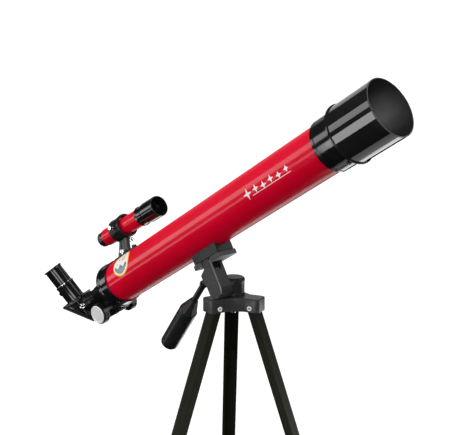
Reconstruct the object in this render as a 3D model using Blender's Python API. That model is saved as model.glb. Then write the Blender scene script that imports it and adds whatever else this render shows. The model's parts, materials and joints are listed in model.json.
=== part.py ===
"""Small achromatic refractor with finder, star diagonal and eyepiece, on a pan-and-tilt head with three legs.

Frame: metres, +Z up. The pan axis is the vertical through the crown, the tube heads along +X and is
raised by ALTITUDE, and the feet stand on Z = 0. The whole model is shifted so that the origin is the
centre of its footprint box.
"""
import bmesh
import bpy
from math import cos, pi, radians, sin, sqrt
from mathutils import Matrix, Vector

GAP = 0.0003                 # running and seating gap between neighbouring pieces

# Attitude and pivots
ALTITUDE = radians(30.6)     # tube above the horizon
LEG_SPLAY = radians(19.0)
LEG_AZIMUTHS = (18.0, 138.0, 258.0)
PIVOT_S = 0.1853             # tilt axis, measured forward along the tube from its rear end
PIVOT_DROP = 0.0804          # tilt axis below the tube axis
PIVOT_X = 0.0020             # tilt axis ahead of the pan axis
TUBE_Y = -0.0212             # plane of the tube beside the pan axis
ARM_Y = -0.0056              # middle of the tilt arm beside the plane of the tube
ORIGIN_X = -0.0400           # centre of the footprint box, seen from the pan axis
ORIGIN_Y = -0.02255

# Optical tube, distances s forward from the rear end of the red tube
TUBE_R = 0.0300
TUBE_WALL = 0.0012
TUBE_FRONT = 0.4445
TUBE_REAR = -0.0160
COLLAR_BORE = TUBE_R + GAP
CELL_R = 0.0325
CELL_BACK = 0.4300
CELL_FRONT = 0.4588
LENS_R = 0.0254
SHIELD_R = 0.0355
SHIELD_WALL = 0.0016
SHIELD_FRONT = 0.5210
FLANGE_R = 0.0370

# Focuser
COLLAR_R = 0.0320
COLLAR_BACK = -0.0220
NECK_R = 0.0152
NECK_BACK = -0.0640
DRAW_R = 0.0132
DRAW_WALL = 0.0012
DRAW_END = -0.0955
FOCUS_S = -0.0480
FOCUS_DROP = 0.0250
PITCH_R = 0.0070             # pinion on rack; both stop at the pitch line, so they only just clear
PINION_R = PITCH_R - GAP
KNOB_R = 0.0150
KNOB_FACE = 0.0330
KNOB_LEN = 0.0140
FOCUSER_ROLL = radians(10.0)

# Star diagonal and eyepiece
DIAG_ROLL = radians(22.0)
DIAG_FRONT = -0.0970
DIAG_TOP = 0.0160
DIAG_LEG = 0.0425
DIAG_WIDTH = 0.0310
NOSE_R = 0.01185
NOSE_LEN = 0.0130            # how far the nose reaches into the drawtube
NOSE_THREAD_R = 0.0114
NOSE_THREAD = 0.0060
SOCKET_S = -0.1178
SOCKET_R = 0.0140
SOCKET_TOP = 0.0450
BARREL_R = 0.01225
EYEPIECE_TOP = 0.0746

# Finder
FINDER_S = 0.0220
FINDER_RHO = 0.0720
FINDER_PHI = radians(11.0)
FINDER_DIP = radians(2.5)
FINDER_YAW = radians(1.5)
FINDER_R = 0.0126
RING_BORE = 0.0147
RING_R = 0.0175
RING_HALF = 0.0125

# Saddle, platform and head
BLOCK_BACK = 0.1660
BLOCK_FRONT = 0.2160
BLOCK_WIDTH = 0.0290
BLOCK_DROP = 0.0393
PLATE_TOP = 0.0399
PLATE_BOTTOM = 0.0467
PLATE_MARGIN = 0.0012
ARM_HALF = 0.0097
HUB_R = 0.0122
CROWN_TOP_DROP = 0.0127      # crown top below the tilt axis
CROWN_THICK = 0.0180
LOBE_END = 0.0410
LOBE_HALF = 0.0118
PIN_RADIUS_POS = 0.0285      # leg pins, out from the pan axis
PIN_DROP = 0.0128            # leg pins below the crown top
POST_R = 0.0150
POST_HEIGHT = 0.0240

# Handle and platform screw
HANDLE_SLOPE = radians(23.5)  # handle below the rearward tube direction
HANDLE_X = -0.0158           # where the handle meets the arm, from the tilt axis
HANDLE_Z = 0.0196
HANDLE_ROD_R = 0.0042
HANDLE_CONE = 0.0400         # start of the cone, out from the lug
HANDLE_GRIP = 0.0585
HANDLE_END = 0.1300
GRIP_R = 0.0124
WHEEL_X = -0.0002            # platform screw, ahead of the tilt axis
WHEEL_LOW = 0.0184
WHEEL_HIGH = 0.0256
WHEEL_R = 0.0095

# Legs
CHANNEL_WIDTH = 0.0186
CHANNEL_DEPTH = 0.0110
CHANNEL_WALL = 0.0012
CHANNEL_LEN = 0.3300
RIVET_R = 0.0025
SCREW_HOLE_R = 0.0018
LOWER_WIDTH = 0.0148
LOWER_DEPTH = 0.0080
LOWER_LEN = 0.2900
LOWER_END = 0.3780           # bottom of the lower section, down the leg from the pin
FOOT_LEN = 0.0180            # how far the shoe reaches up the lower section

RED = (0.66, 0.0, 0.016)
BLACK = (0.012, 0.012, 0.013)
DARK_GREY = (0.045, 0.046, 0.048)
OLIVE_BLACK = (0.013, 0.013, 0.009)
STEEL = (0.72, 0.72, 0.72)
GLASS = (0.75, 0.85, 0.9)

LEG_PIN_Z = (LOWER_END + 0.0030) * cos(LEG_SPLAY) + 0.0040
CROWN_TOP = LEG_PIN_Z + PIN_DROP
PIVOT_Z = CROWN_TOP + CROWN_TOP_DROP

WORLD = {}                   # world frame of every object, by name

for leftover in list(bpy.data.objects):
    bpy.data.objects.remove(leftover)


def paint(name, colour, roughness, metallic=0.0):
    material = bpy.data.materials.new(name)
    material.use_nodes = True
    shader = material.node_tree.nodes["Principled BSDF"]
    shader.inputs["Base Color"].default_value = (*colour, 1.0)
    shader.inputs["Roughness"].default_value = roughness
    shader.inputs["Metallic"].default_value = metallic
    return material


def empty(name, frame, parent=None):
    """An axis marker; returns it with its world frame kept beside it."""
    marker = bpy.data.objects.new(name, None)
    marker.empty_display_size = 0.02
    bpy.context.collection.objects.link(marker)
    return attach(marker, frame, parent)


def attach(obj, frame, parent):
    if parent is None:
        obj.matrix_basis = frame
    else:
        obj.parent = parent
        obj.matrix_parent_inverse = WORLD[parent.name].inverted()
        obj.matrix_basis = frame
    WORLD[obj.name] = frame.copy()
    return obj


def body(name, bm, frame, parent, look, sharp=35.0):
    """Finish a bmesh as a named object standing in the given frame."""
    bmesh.ops.recalc_face_normals(bm, faces=bm.faces[:])
    mesh = bpy.data.meshes.new(name)
    bm.to_mesh(mesh)
    bm.free()
    obj = bpy.data.objects.new(name, mesh)
    bpy.context.collection.objects.link(obj)
    attach(obj, frame, parent)
    finish(obj, look, sharp)
    return obj


def finish(obj, look, sharp=35.0):
    obj.data.materials.clear()
    obj.data.materials.append(paint(obj.name, *look))
    obj.data.shade_smooth()
    obj.data.set_sharp_from_angle(angle=radians(sharp))


def combine(obj, tool, operation):
    """Apply one exact Boolean with a throwaway tool object."""
    bpy.context.view_layer.update()
    modifier = obj.modifiers.new("combine", "BOOLEAN")
    modifier.solver = "EXACT"
    modifier.operation = operation
    modifier.object = tool
    bpy.context.view_layer.update()
    graph = bpy.context.evaluated_depsgraph_get()
    mesh = bpy.data.meshes.new_from_object(obj.evaluated_get(graph))
    obj.modifiers.remove(modifier)
    look = obj.data.materials[0]
    obj.data = mesh
    mesh.materials.clear()
    mesh.materials.append(look)
    bpy.data.objects.remove(tool)
    weld = bmesh.new()
    weld.from_mesh(mesh)
    bmesh.ops.remove_doubles(weld, verts=weld.verts[:], dist=0.000002)
    weld.to_mesh(mesh)
    weld.free()
    mesh.shade_smooth()
    mesh.set_sharp_from_angle(angle=radians(35.0))
    return obj


def cut(obj, bm, frame):
    return combine(obj, body("cutter", bm, frame, None, (BLACK, 0.5)), "DIFFERENCE")


def join(obj, bm, frame):
    return combine(obj, body("addition", bm, frame, None, (BLACK, 0.5)), "UNION")


def lathe(outline, steps=24):
    """Turn a closed outline of (radius, height) points about local Z."""
    bm = bmesh.new()
    rings = []
    for radius, height in outline:
        if radius < 1e-9:
            rings.append([bm.verts.new((0.0, 0.0, height))])
            continue
        turns = (2.0 * pi * i / steps for i in range(steps))
        rings.append([bm.verts.new((radius * cos(t), radius * sin(t), height)) for t in turns])
    for near, far in zip(rings, rings[1:] + rings[:1]):
        if len(near) == 1 and len(far) == 1:
            continue
        for i in range(steps):
            j = (i + 1) % steps
            corners = [near[i % len(near)], near[j % len(near)], far[j % len(far)], far[i % len(far)]]
            bm.faces.new(list(dict.fromkeys(corners)))
    return bm


def rod(radius, low, high, steps=20, bevel=0.0):
    """A solid round bar along local Z with optional chamfered ends."""
    if bevel:
        outline = [(0, low), (radius - bevel, low), (radius, low + bevel), (radius, high - bevel),
                   (radius - bevel, high), (0, high)]
    else:
        outline = [(0, low), (radius, low), (radius, high), (0, high)]
    return lathe(outline, steps)


def tube(outer, inner, low, high, steps=24):
    return lathe([(inner, low), (outer, low), (outer, high), (inner, high)], steps)


def block(x, y, z):
    """An axis-aligned box from three (low, high) pairs."""
    bm = bmesh.new()
    bmesh.ops.create_cube(bm, size=1.0)
    for vert in bm.verts:
        vert.co = Vector((mix(x, vert.co.x), mix(y, vert.co.y), mix(z, vert.co.z)))
    return bm


def mix(pair, value):
    return pair[0] if value < 0 else pair[1]


def prism(outline, low, high, inset=0.0, inset_height=0.0):
    """Extrude a flat outline along local Z; the top edge may be drawn in for a soft shoulder."""
    bm = bmesh.new()
    base = bm.faces.new([bm.verts.new((x, y, low)) for x, y in outline])
    lifted = bmesh.ops.extrude_face_region(bm, geom=[base])["geom"]
    shoulder = high - inset_height
    for item in lifted:
        if isinstance(item, bmesh.types.BMVert):
            item.co.z = shoulder
    if inset:
        top = next(f for f in bm.faces if all(abs(v.co.z - shoulder) < 1e-7 for v in f.verts))
        bmesh.ops.inset_region(bm, faces=[top], thickness=inset, use_even_offset=True)
        for vert in top.verts:
            vert.co.z = high
    return bm


def arc(centre, radius, start, stop, steps):
    """Points on an arc in degrees, ends included."""
    turns = (radians(start + (stop - start) * i / steps) for i in range(steps + 1))
    return [(centre[0] + radius * cos(t), centre[1] + radius * sin(t)) for t in turns]


def shift(x=0.0, y=0.0, z=0.0):
    return Matrix.Translation((x, y, z))


def turn(angle, axis):
    return Matrix.Rotation(angle, 4, axis)


TO_X = turn(pi / 2, "Y")     # local Z onto +X
TO_Y = turn(-pi / 2, "X")    # local Z onto +Y


def frames():
    """The frames of the tube, focuser, diagonal, finder and legs in the world."""
    base = shift(-ORIGIN_X, -ORIGIN_Y, 0.0)
    pivot = base @ shift(PIVOT_X, TUBE_Y, PIVOT_Z)
    scope = pivot @ turn(-ALTITUDE, "Y") @ shift(-PIVOT_S, 0.0, PIVOT_DROP)
    focuser = scope @ turn(FOCUSER_ROLL, "X")
    diagonal = scope @ turn(DIAG_ROLL, "X")
    ring = scope @ turn(-FINDER_PHI, "X") @ shift(FINDER_S, 0.0, FINDER_RHO)
    finder = ring @ turn(FINDER_DIP, "Y") @ turn(FINDER_YAW, "Z")
    return base, pivot, scope, focuser, diagonal, ring, finder


BASE, PIVOT, SCOPE, FOCUSER, DIAGONAL, RING, FINDER = frames()
HEAD = PIVOT @ turn(-ALTITUDE, "Y")      # tilt axis, x along the tube


def handle_frame():
    """Origin where the handle meets the arm, z out along the handle."""
    return HEAD @ shift(HANDLE_X, ARM_Y, HANDLE_Z) @ turn(-HANDLE_SLOPE, "Y") @ turn(-pi / 2, "Y")


# Joint axes; a marker's place is a point on the axis
PAN = empty("pan_axis", BASE @ shift(0, 0, CROWN_TOP))
TILT = empty("tilt_axis", HEAD, PAN)
HANDLE = empty("handle_axis", handle_frame(), TILT)
DRAW = empty("drawtube_axis", FOCUSER @ shift(DRAW_END, 0, 0), TILT)
FOCUS = empty("focus_axis", FOCUSER @ shift(FOCUS_S, 0, -FOCUS_DROP), TILT)
TURN = empty("diagonal_axis", DIAGONAL @ shift(DIAG_FRONT, 0, 0), DRAW)
PULL = empty("eyepiece_axis", DIAGONAL @ shift(SOCKET_S, 0, SOCKET_TOP), TURN)
WHEEL = empty("platform_screw_axis", HEAD @ shift(WHEEL_X, 0, WHEEL_LOW), TILT)


def crown():
    """Three parallel-sided lobes joined by hollow flanks, pocketed below for the legs."""
    corner = 0.0045
    waist = 0.0196
    outline = []
    for azimuth in LEG_AZIMUTHS:
        local = arc((LOBE_END - corner, -LOBE_HALF + corner), corner, -90, 0, 3)
        local += arc((LOBE_END - corner, LOBE_HALF - corner), corner, 0, 90, 3)
        root = (0.0195, LOBE_HALF)
        local = [(root[0], -root[1])] + local + [root]
        spin = radians(azimuth)
        outline += [(x * cos(spin) - y * sin(spin), x * sin(spin) + y * cos(spin)) for x, y in local]
        middle = spin + pi / 3
        outline.append((waist * cos(middle), waist * sin(middle)))
    top = BASE @ shift(0, 0, CROWN_TOP)
    plate = prism(outline, -CROWN_THICK, 0, 0.0016, 0.0014)
    piece = body("crown", plate, top, None, (DARK_GREY, 0.45))
    slot_half = CHANNEL_WIDTH / 2 + 0.0005
    for azimuth in LEG_AZIMUTHS:
        lobe = top @ turn(radians(azimuth), "Z") @ shift(PIN_RADIUS_POS, 0, -PIN_DROP)
        cut(piece, block((-0.0068, 0.0086), (-slot_half, slot_half), (-0.010, 0.0098)), lobe)
        cut(piece, rod(0.0028, -0.02, 0.02, 16), lobe @ TO_Y)
    cut(piece, rod(0.0034, -0.03, 0.01, 20), top)
    return piece


def head_base():
    top = BASE @ shift(0, 0, CROWN_TOP)
    bolt = rod(0.0031, -0.0200, 0.0140, 20)
    piece = body("pan_bolt", bolt, top, PAN, (STEEL, 0.3, 1.0))
    join(piece, rod(0.0062, -CROWN_THICK - 0.0043, -CROWN_THICK - GAP, 6), top)


def post():
    """Pan post with a rounded cap, a flat towards the arm and the hub that carries the tilt pin."""
    top = BASE @ shift(0, 0, CROWN_TOP)
    outline = [(0, GAP), (POST_R, GAP), (POST_R, POST_HEIGHT - 0.0030), (POST_R - 0.0010, POST_HEIGHT - 0.0010)]
    outline += [(POST_R - 0.0030, POST_HEIGHT), (0, POST_HEIGHT + 0.0006)]
    piece = body("pan_post", lathe(outline, 28), top, PAN, (DARK_GREY, 0.42))
    arm_far = TUBE_Y + ARM_Y + ARM_HALF
    hub = BASE @ shift(PIVOT_X, 0, PIVOT_Z) @ TO_Y
    join(piece, rod(0.0108, arm_far + GAP, 0.0, 24), hub)
    cut(piece, block((-0.03, 0.03), (-0.05, arm_far + GAP), (-0.01, 0.04)), top)
    cut(piece, rod(0.0034, -0.01, 0.0145, 20), top)
    cut(piece, rod(0.0043, arm_far - 0.01, -0.0060, 20), hub)
    pin = rod(0.0040, arm_far - 0.0120, -0.0064, 20, 0.0005)
    body("tilt_pin", pin, hub, PAN, (STEEL, 0.3, 1.0))


def arm_frame():
    """Frame of the arm's flat outline: x along the tube, y up from it, z towards the near side."""
    return HEAD @ shift(0, ARM_Y, 0) @ turn(pi / 2, "X")


def tilt_arm():
    """Bracket with a round hub on the tilt axis, a straight front, a rear lug for the handle, a top boss."""
    top = PIVOT_DROP - BLOCK_DROP - GAP
    front = HUB_R
    outline = arc((0, 0), HUB_R, 180, 360, 14)
    outline += [(front, top - 0.0030), (front - 0.0030, top), (-0.0015, top), (-0.0040, top - 0.0025)]
    outline += [(-0.0040, 0.0310), (-0.0148, 0.0250), (-0.0148, 0.0125), (-HUB_R, 0.0085)]
    bm = prism(outline, -ARM_HALF, ARM_HALF)
    near = [e for e in bm.edges if all(abs(v.co.z - ARM_HALF) < 1e-7 for v in e.verts)]
    bmesh.ops.bevel(bm, geom=near, offset=0.0009, segments=1, affect="EDGES", profile=0.5)
    piece = body("tilt_arm", bm, arm_frame(), TILT, (DARK_GREY, 0.45))
    from_far = HEAD @ shift(0, ARM_Y, 0) @ TO_Y @ turn(pi, "X")
    cut(piece, rod(0.0043, -ARM_HALF - 0.01, ARM_HALF - 0.0046, 20), from_far)
    recess = HEAD @ shift(HUB_R, ARM_Y, 0.0298) @ TO_X
    cut(piece, rod(0.0060, -0.0070, 0.01, 24), recess)
    wheel = HEAD @ shift(WHEEL_X, 0, 0)
    cut(piece, rod(WHEEL_R + 0.0006, WHEEL_LOW - 0.0004, WHEEL_HIGH + 0.0004, 32), wheel)
    cut(piece, rod(0.0036, WHEEL_LOW, 0.05, 20), wheel)
    cut(piece, rod(HANDLE_ROD_R + GAP, -0.0040, 0.0100, 20), handle_frame())
    return piece


def platform():
    """Plate round the arm's top, the screw with its wheel, and the saddle block that holds the tube."""
    half = BLOCK_WIDTH / 2 + PLATE_MARGIN
    ends = (BLOCK_BACK - PLATE_MARGIN, BLOCK_FRONT + PLATE_MARGIN)
    bm = block(ends, (-half, half), (-PLATE_BOTTOM, -PLATE_TOP))
    bmesh.ops.bevel(bm, geom=bm.edges[:], offset=0.0006, segments=1, affect="EDGES", profile=0.5)
    piece = body("platform_plate", bm, SCOPE, TILT, (DARK_GREY, 0.5))
    rim = GAP + 0.0001
    notch = block((-0.0040 - rim, HUB_R + rim), (-0.05, ARM_Y + ARM_HALF + rim), (0.02, 0.06))
    cut(piece, notch, HEAD)
    wheel = HEAD @ shift(WHEEL_X, 0, 0)
    cut(piece, rod(0.0036, 0.0, 0.06, 20), wheel)

    block_top = -0.0240
    bm = block((BLOCK_BACK, BLOCK_FRONT), (-BLOCK_WIDTH / 2, BLOCK_WIDTH / 2), (-BLOCK_DROP, block_top))
    upright = [e for e in bm.edges if abs(e.verts[0].co.z - e.verts[1].co.z) > 0.001]
    bmesh.ops.bevel(bm, geom=upright, offset=0.0015, segments=2, affect="EDGES", profile=0.5)
    piece = body("saddle_block", bm, SCOPE, TILT, (DARK_GREY, 0.5))
    cut(piece, rod(COLLAR_BORE, 0.1, 0.3, 48), SCOPE @ TO_X)
    cut(piece, rod(0.0034, 0.0, 0.0470, 20), wheel)

    outline = [(0, WHEEL_LOW), (WHEEL_R - 0.0008, WHEEL_LOW), (WHEEL_R, WHEEL_LOW + 0.0008)]
    outline += [(WHEEL_R, WHEEL_HIGH - 0.0008), (WHEEL_R - 0.0008, WHEEL_HIGH), (0.0031, WHEEL_HIGH)]
    outline += [(0.0031, 0.0460), (0, 0.0460)]
    body("platform_screw", lathe(outline, 28), wheel, WHEEL, (STEEL, 0.4))


def handle():
    start = handle_frame()
    bar = rod(HANDLE_ROD_R, -0.0037, HANDLE_CONE + 0.0100, 24, 0.0005)
    body("handle_rod", bar, start, HANDLE, (DARK_GREY, 0.4))
    outline = [(HANDLE_ROD_R + GAP, HANDLE_CONE), (HANDLE_ROD_R + 0.0012, HANDLE_CONE)]
    outline += [(GRIP_R - 0.0006, HANDLE_GRIP), (GRIP_R, HANDLE_GRIP + 0.0010)]
    soft = 0.0050
    outline += [(r, z) for r, z in arc((GRIP_R - soft, HANDLE_END - soft), soft, 0, 90, 4)]
    outline += [(0, HANDLE_END), (0, HANDLE_CONE + 0.0106), (HANDLE_ROD_R + GAP, HANDLE_CONE + 0.0106)]
    body("handle_grip", lathe(outline, 24), start, HANDLE, (DARK_GREY, 0.4))


def optical_tube():
    along = SCOPE @ TO_X
    body("main_tube", tube(TUBE_R, TUBE_R - TUBE_WALL, TUBE_REAR, TUBE_FRONT, 36), along, TILT, (RED, 0.15))

    seat = TUBE_FRONT + 0.0030
    spigot_r = 0.0312
    spigot_front = 0.4700
    outline = [(COLLAR_BORE, CELL_BACK), (CELL_R - 0.0006, CELL_BACK), (CELL_R, CELL_BACK + 0.0006)]
    outline += [(CELL_R, CELL_FRONT), (spigot_r, CELL_FRONT), (spigot_r, spigot_front)]
    outline += [(LENS_R + 0.0004, spigot_front), (LENS_R + 0.0004, seat), (0.0236, seat)]
    outline += [(0.0236, TUBE_FRONT + GAP), (COLLAR_BORE, TUBE_FRONT + GAP)]
    piece = body("objective_cell", lathe(outline, 36), along, TILT, (BLACK, 0.2))
    underside = SCOPE @ turn(radians(158), "X") @ shift(CELL_FRONT - 0.0058, 0, 0)
    cut(piece, rod(0.0017, 0.0280, 0.04, 12), underside)
    body("cell_screw", cap_screw(0.0285, CELL_R + GAP, 0.0014, 0.0030, 0.0022), underside, TILT, (BLACK, 0.3))

    sleeve = spigot_r + GAP
    inner = SHIELD_R - SHIELD_WALL
    outline = [(sleeve, CELL_FRONT + GAP), (FLANGE_R, CELL_FRONT + GAP), (FLANGE_R, CELL_FRONT + 0.0020)]
    outline += [(SHIELD_R, CELL_FRONT + 0.0026), (SHIELD_R, SHIELD_FRONT - 0.0005)]
    outline += [(SHIELD_R - 0.0005, SHIELD_FRONT), (inner, SHIELD_FRONT), (inner, spigot_front - 0.0030)]
    outline += [(sleeve, spigot_front - 0.0050)]
    body("dew_shield", lathe(outline, 36), along, TILT, (BLACK, 0.15))

    rear = seat + GAP
    sag = 0.0010
    flint_edge = 0.0030
    crown_edge = 0.0022
    body("flint_lens", lens(LENS_R, 0.0, flint_edge, 0.0, -sag), along @ shift(0, 0, rear), TILT, (GLASS, 0.05))
    front_lens = rear + flint_edge + GAP
    glass = lens(LENS_R, 0.0, crown_edge, sag * 0.98, sag)
    body("crown_lens", glass, along @ shift(0, 0, front_lens), TILT, (GLASS, 0.05))
    ring = front_lens + crown_edge + GAP
    body("lens_ring", tube(LENS_R, LENS_R - 0.0020, ring, ring + 0.0050, 28), along, TILT, (BLACK, 0.4))


def lens(radius, low, high, low_bulge, high_bulge):
    """A lens along local Z: edge planes low and high, each face bulging outward by its sag."""
    rows = 3
    outline = []
    for i in range(rows + 1):
        r = radius * i / rows
        outline.append((r, low - low_bulge * (1.0 - (r / radius) ** 2)))
    for i in range(rows, -1, -1):
        r = radius * i / rows
        outline.append((r, high + high_bulge * (1.0 - (r / radius) ** 2)))
    return lathe(outline, 24)


def cap_screw(tip, seat, stem_r, head_r, head_len):
    """A screw along local Z: stem from tip to seat, then a round head."""
    soft = 0.0005
    outline = [(0, tip), (stem_r, tip), (stem_r, seat), (head_r, seat), (head_r, seat + head_len - soft)]
    outline += [(head_r - soft, seat + head_len), (0, seat + head_len)]
    return lathe(outline, 16)


def thumbscrew(name, frame, tip, seat, head_r, head_len, marker):
    """A thumbscrew along local Z: stem, a narrow collar, then a knurled head."""
    stem_r = 0.0015
    ridge = 0.0003
    bm = lathe([(0, tip), (stem_r, tip), (stem_r, seat), (0, seat)], 12)
    piece = body(name, bm, frame, marker, (STEEL, 0.3, 1.0))
    teeth = 9
    outline = []
    for i in range(teeth * 2):
        radius = head_r - (ridge if i % 2 else 0.0)
        outline.append((radius * cos(pi * i / teeth), radius * sin(pi * i / teeth)))
    low = seat + 0.0010
    join(piece, prism(outline, low, low + head_len, ridge, ridge), frame)
    join(piece, rod(stem_r + 0.0008, seat, low + 0.0010, 12), frame)
    return piece


def focuser():
    """Rear collar, neck and pinion block in one moulding; drawtube with its rack; shaft and knobs."""
    along = FOCUSER @ TO_X
    wall_front = TUBE_REAR - GAP
    soft = 0.0015
    outline = [(COLLAR_BORE, 0.0), (COLLAR_R - 0.0006, 0.0), (COLLAR_R, -0.0006), (COLLAR_R, -0.0150)]
    outline += [(COLLAR_R + 0.0012, -0.0170), (COLLAR_R + 0.0012, COLLAR_BACK + soft)]
    outline += [(COLLAR_R + 0.0012 - soft, COLLAR_BACK), (NECK_R + 0.0030, COLLAR_BACK)]
    outline += [(NECK_R, COLLAR_BACK - 0.0030), (NECK_R, NECK_BACK)]
    bore = DRAW_R + GAP
    outline += [(bore, NECK_BACK), (bore, wall_front), (COLLAR_BORE, wall_front)]
    piece = body("focuser_housing", lathe(outline, 36), along, TILT, (BLACK, 0.3))
    bottom = -FOCUS_DROP - PINION_R - 0.0030
    join(piece, block((NECK_BACK + 0.0008, -0.0290), (-0.0098, 0.0098), (bottom, -0.0140)), FOCUSER)
    shaft = FOCUSER @ shift(FOCUS_S, 0, -FOCUS_DROP) @ TO_Y
    cut(piece, rod(PINION_R + 0.0006, -0.0056, 0.0056, 24), shaft)
    cut(piece, rod(0.0028, -0.02, 0.02, 16), shaft)
    rack_low = -FOCUS_DROP + PITCH_R
    cut(piece, block((-0.08, 0.01), (-0.0031, 0.0031), (rack_low - GAP, -0.0120)), FOCUSER)

    outline = [(DRAW_R - DRAW_WALL, 0.0200), (DRAW_R, 0.0200), (DRAW_R, -0.0860), (0.0148, -0.0866)]
    outline += [(0.0148, DRAW_END), (DRAW_R - DRAW_WALL, DRAW_END)]
    piece = body("drawtube", lathe(outline[::-1], 28), along, DRAW, (BLACK, 0.25))
    join(piece, block((-0.0820, 0.0180), (-0.0027, 0.0027), (rack_low, -0.0125)), FOCUSER)
    near = FOCUSER @ shift(DRAW_END + 0.0050, 0, 0) @ turn(pi / 2, "X")
    cut(piece, rod(SCREW_HOLE_R, 0.010, 0.030, 16), near)
    marker = empty("drawtube_screw_axis", near, DRAW)
    thumbscrew("drawtube_thumbscrew", near, BARREL_R - 0.0002 + GAP, 0.0152, 0.0036, 0.0060, marker)

    body("pinion_shaft", rod(0.0025, -0.0310, 0.0310, 16, 0.0004), shaft, FOCUS, (STEEL, 0.3, 1.0))
    pinion = bpy.data.objects["pinion_shaft"]
    teeth = 12
    root = PINION_R - 0.0016
    profile = ((0.0, root), (0.35, root), (0.55, PINION_R), (0.80, PINION_R))
    outline = []
    for i in range(teeth):
        for part, radius in profile:
            angle = (i + part) * 2 * pi / teeth
            outline.append((radius * cos(angle), radius * sin(angle)))
    join(pinion, prism(outline, -0.0050, 0.0050), shaft)
    for name, side in (("focus_knob_near", -1), ("focus_knob_far", 1)):
        face = shaft if side > 0 else shaft @ turn(pi, "X")
        body(name, knob(), face, FOCUS, (BLACK, 0.35))
    cap = [(0, KNOB_FACE + GAP), (0.0132, KNOB_FACE + GAP), (0.0132, KNOB_FACE + 0.0010)]
    cap += [(0.0126, KNOB_FACE + 0.0014), (0, KNOB_FACE + 0.0014)]
    body("knob_cap", lathe(cap, 24), shaft @ turn(pi, "X"), FOCUS, (STEEL, 0.2, 1.0))


def knob():
    """A ribbed focus knob with a blind bore on its inner side."""
    low = KNOB_FACE - KNOB_LEN
    bore = 0.0025 + GAP
    outline = [(bore, low), (KNOB_R - 0.0015, low), (KNOB_R, low + 0.0015), (KNOB_R, KNOB_FACE - 0.0012)]
    outline += [(KNOB_R - 0.0012, KNOB_FACE), (0, KNOB_FACE), (0, 0.0310 + GAP), (bore, 0.0310 + GAP)]
    return lathe(outline, 24)


def diagonal():
    """Right-angle housing with its nose, socket, mirror and back plate."""
    back = DIAG_FRONT - DIAG_LEG
    bottom = DIAG_TOP - DIAG_LEG
    half = DIAG_WIDTH / 2
    flat = DIAGONAL @ turn(pi / 2, "X")
    cover = 0.0022
    outline = [(DIAG_FRONT, DIAG_TOP), (back + 2 * cover, DIAG_TOP), (DIAG_FRONT, bottom + 2 * cover)]
    bm = prism(outline, -half, half)
    piece = body("diagonal_housing", bm, flat, TURN, (BLACK, 0.25))
    along = DIAGONAL @ TO_X
    socket = DIAGONAL @ shift(SOCKET_S, 0, 0)
    lip = [(0, DIAG_TOP - 0.002), (SOCKET_R, DIAG_TOP - 0.002), (SOCKET_R, SOCKET_TOP - 0.0030)]
    lip += [(SOCKET_R + 0.0007, SOCKET_TOP - 0.0024), (SOCKET_R + 0.0007, SOCKET_TOP - 0.0004)]
    lip += [(SOCKET_R + 0.0003, SOCKET_TOP), (0, SOCKET_TOP)]
    join(piece, lathe(lip, 28), socket)
    bore = 0.0105
    cut(piece, rod(bore, -0.1180, DIAG_FRONT + 0.01, 24), along)
    cut(piece, rod(NOSE_THREAD_R + GAP, DIAG_FRONT - NOSE_THREAD - GAP, DIAG_FRONT + 0.01, 28), along)
    cut(piece, rod(0.0110, -0.0010, 0.0205, 24), socket)
    cut(piece, rod(BARREL_R + GAP, 0.0200, 0.0600, 28), socket)
    depth = 0.0034
    middle = Vector(((DIAG_FRONT + back) / 2 + cover, 0, (DIAG_TOP + bottom) / 2 + cover))
    face = DIAGONAL @ Matrix.Translation(middle) @ turn(-pi / 4 * 3, "Y")
    cut(piece, block((-0.0172, 0.0172), (-0.0127, 0.0127), (-depth, 0.01)), face)
    bm = block((-0.0168, 0.0168), (-0.0123, 0.0123), (-depth + GAP, -GAP))
    body("diagonal_mirror", bm, face, TURN, (STEEL, 0.02, 1.0))
    reach = DIAG_LEG / sqrt(2) - 0.0003
    bm = block((-reach, reach), (-half, half), (0.0, cover * sqrt(2) - GAP - 0.0002))
    bmesh.ops.bevel(bm, geom=bm.edges[:], offset=0.0005, segments=1, affect="EDGES", profile=0.5)
    body("diagonal_back", bm, face @ shift(0, 0, GAP), TURN, (BLACK, 0.3))
    nose = [(bore, DIAG_FRONT - NOSE_THREAD), (NOSE_THREAD_R, DIAG_FRONT - NOSE_THREAD)]
    nose += [(NOSE_THREAD_R, DIAG_FRONT + GAP), (NOSE_R, DIAG_FRONT + GAP), (NOSE_R, DIAG_FRONT + NOSE_LEN)]
    nose += [(bore, DIAG_FRONT + NOSE_LEN)]
    body("diagonal_nose", lathe(nose, 28), along, TURN, (STEEL, 0.2, 1.0))
    rear = DIAGONAL @ shift(SOCKET_S, 0, 0.0345) @ turn(-pi / 2, "Y")
    cut(piece, rod(SCREW_HOLE_R, 0.010, 0.030, 16), rear)
    join(piece, tube(0.0040, 0.0018, 0.0130, SOCKET_R + 0.0030, 16), rear)
    marker = empty("eyepiece_screw_axis", rear, TURN)
    thumbscrew("eyepiece_thumbscrew", rear, BARREL_R + GAP, SOCKET_R + 0.0030 + GAP, 0.0032, 0.0055, marker)


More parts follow.
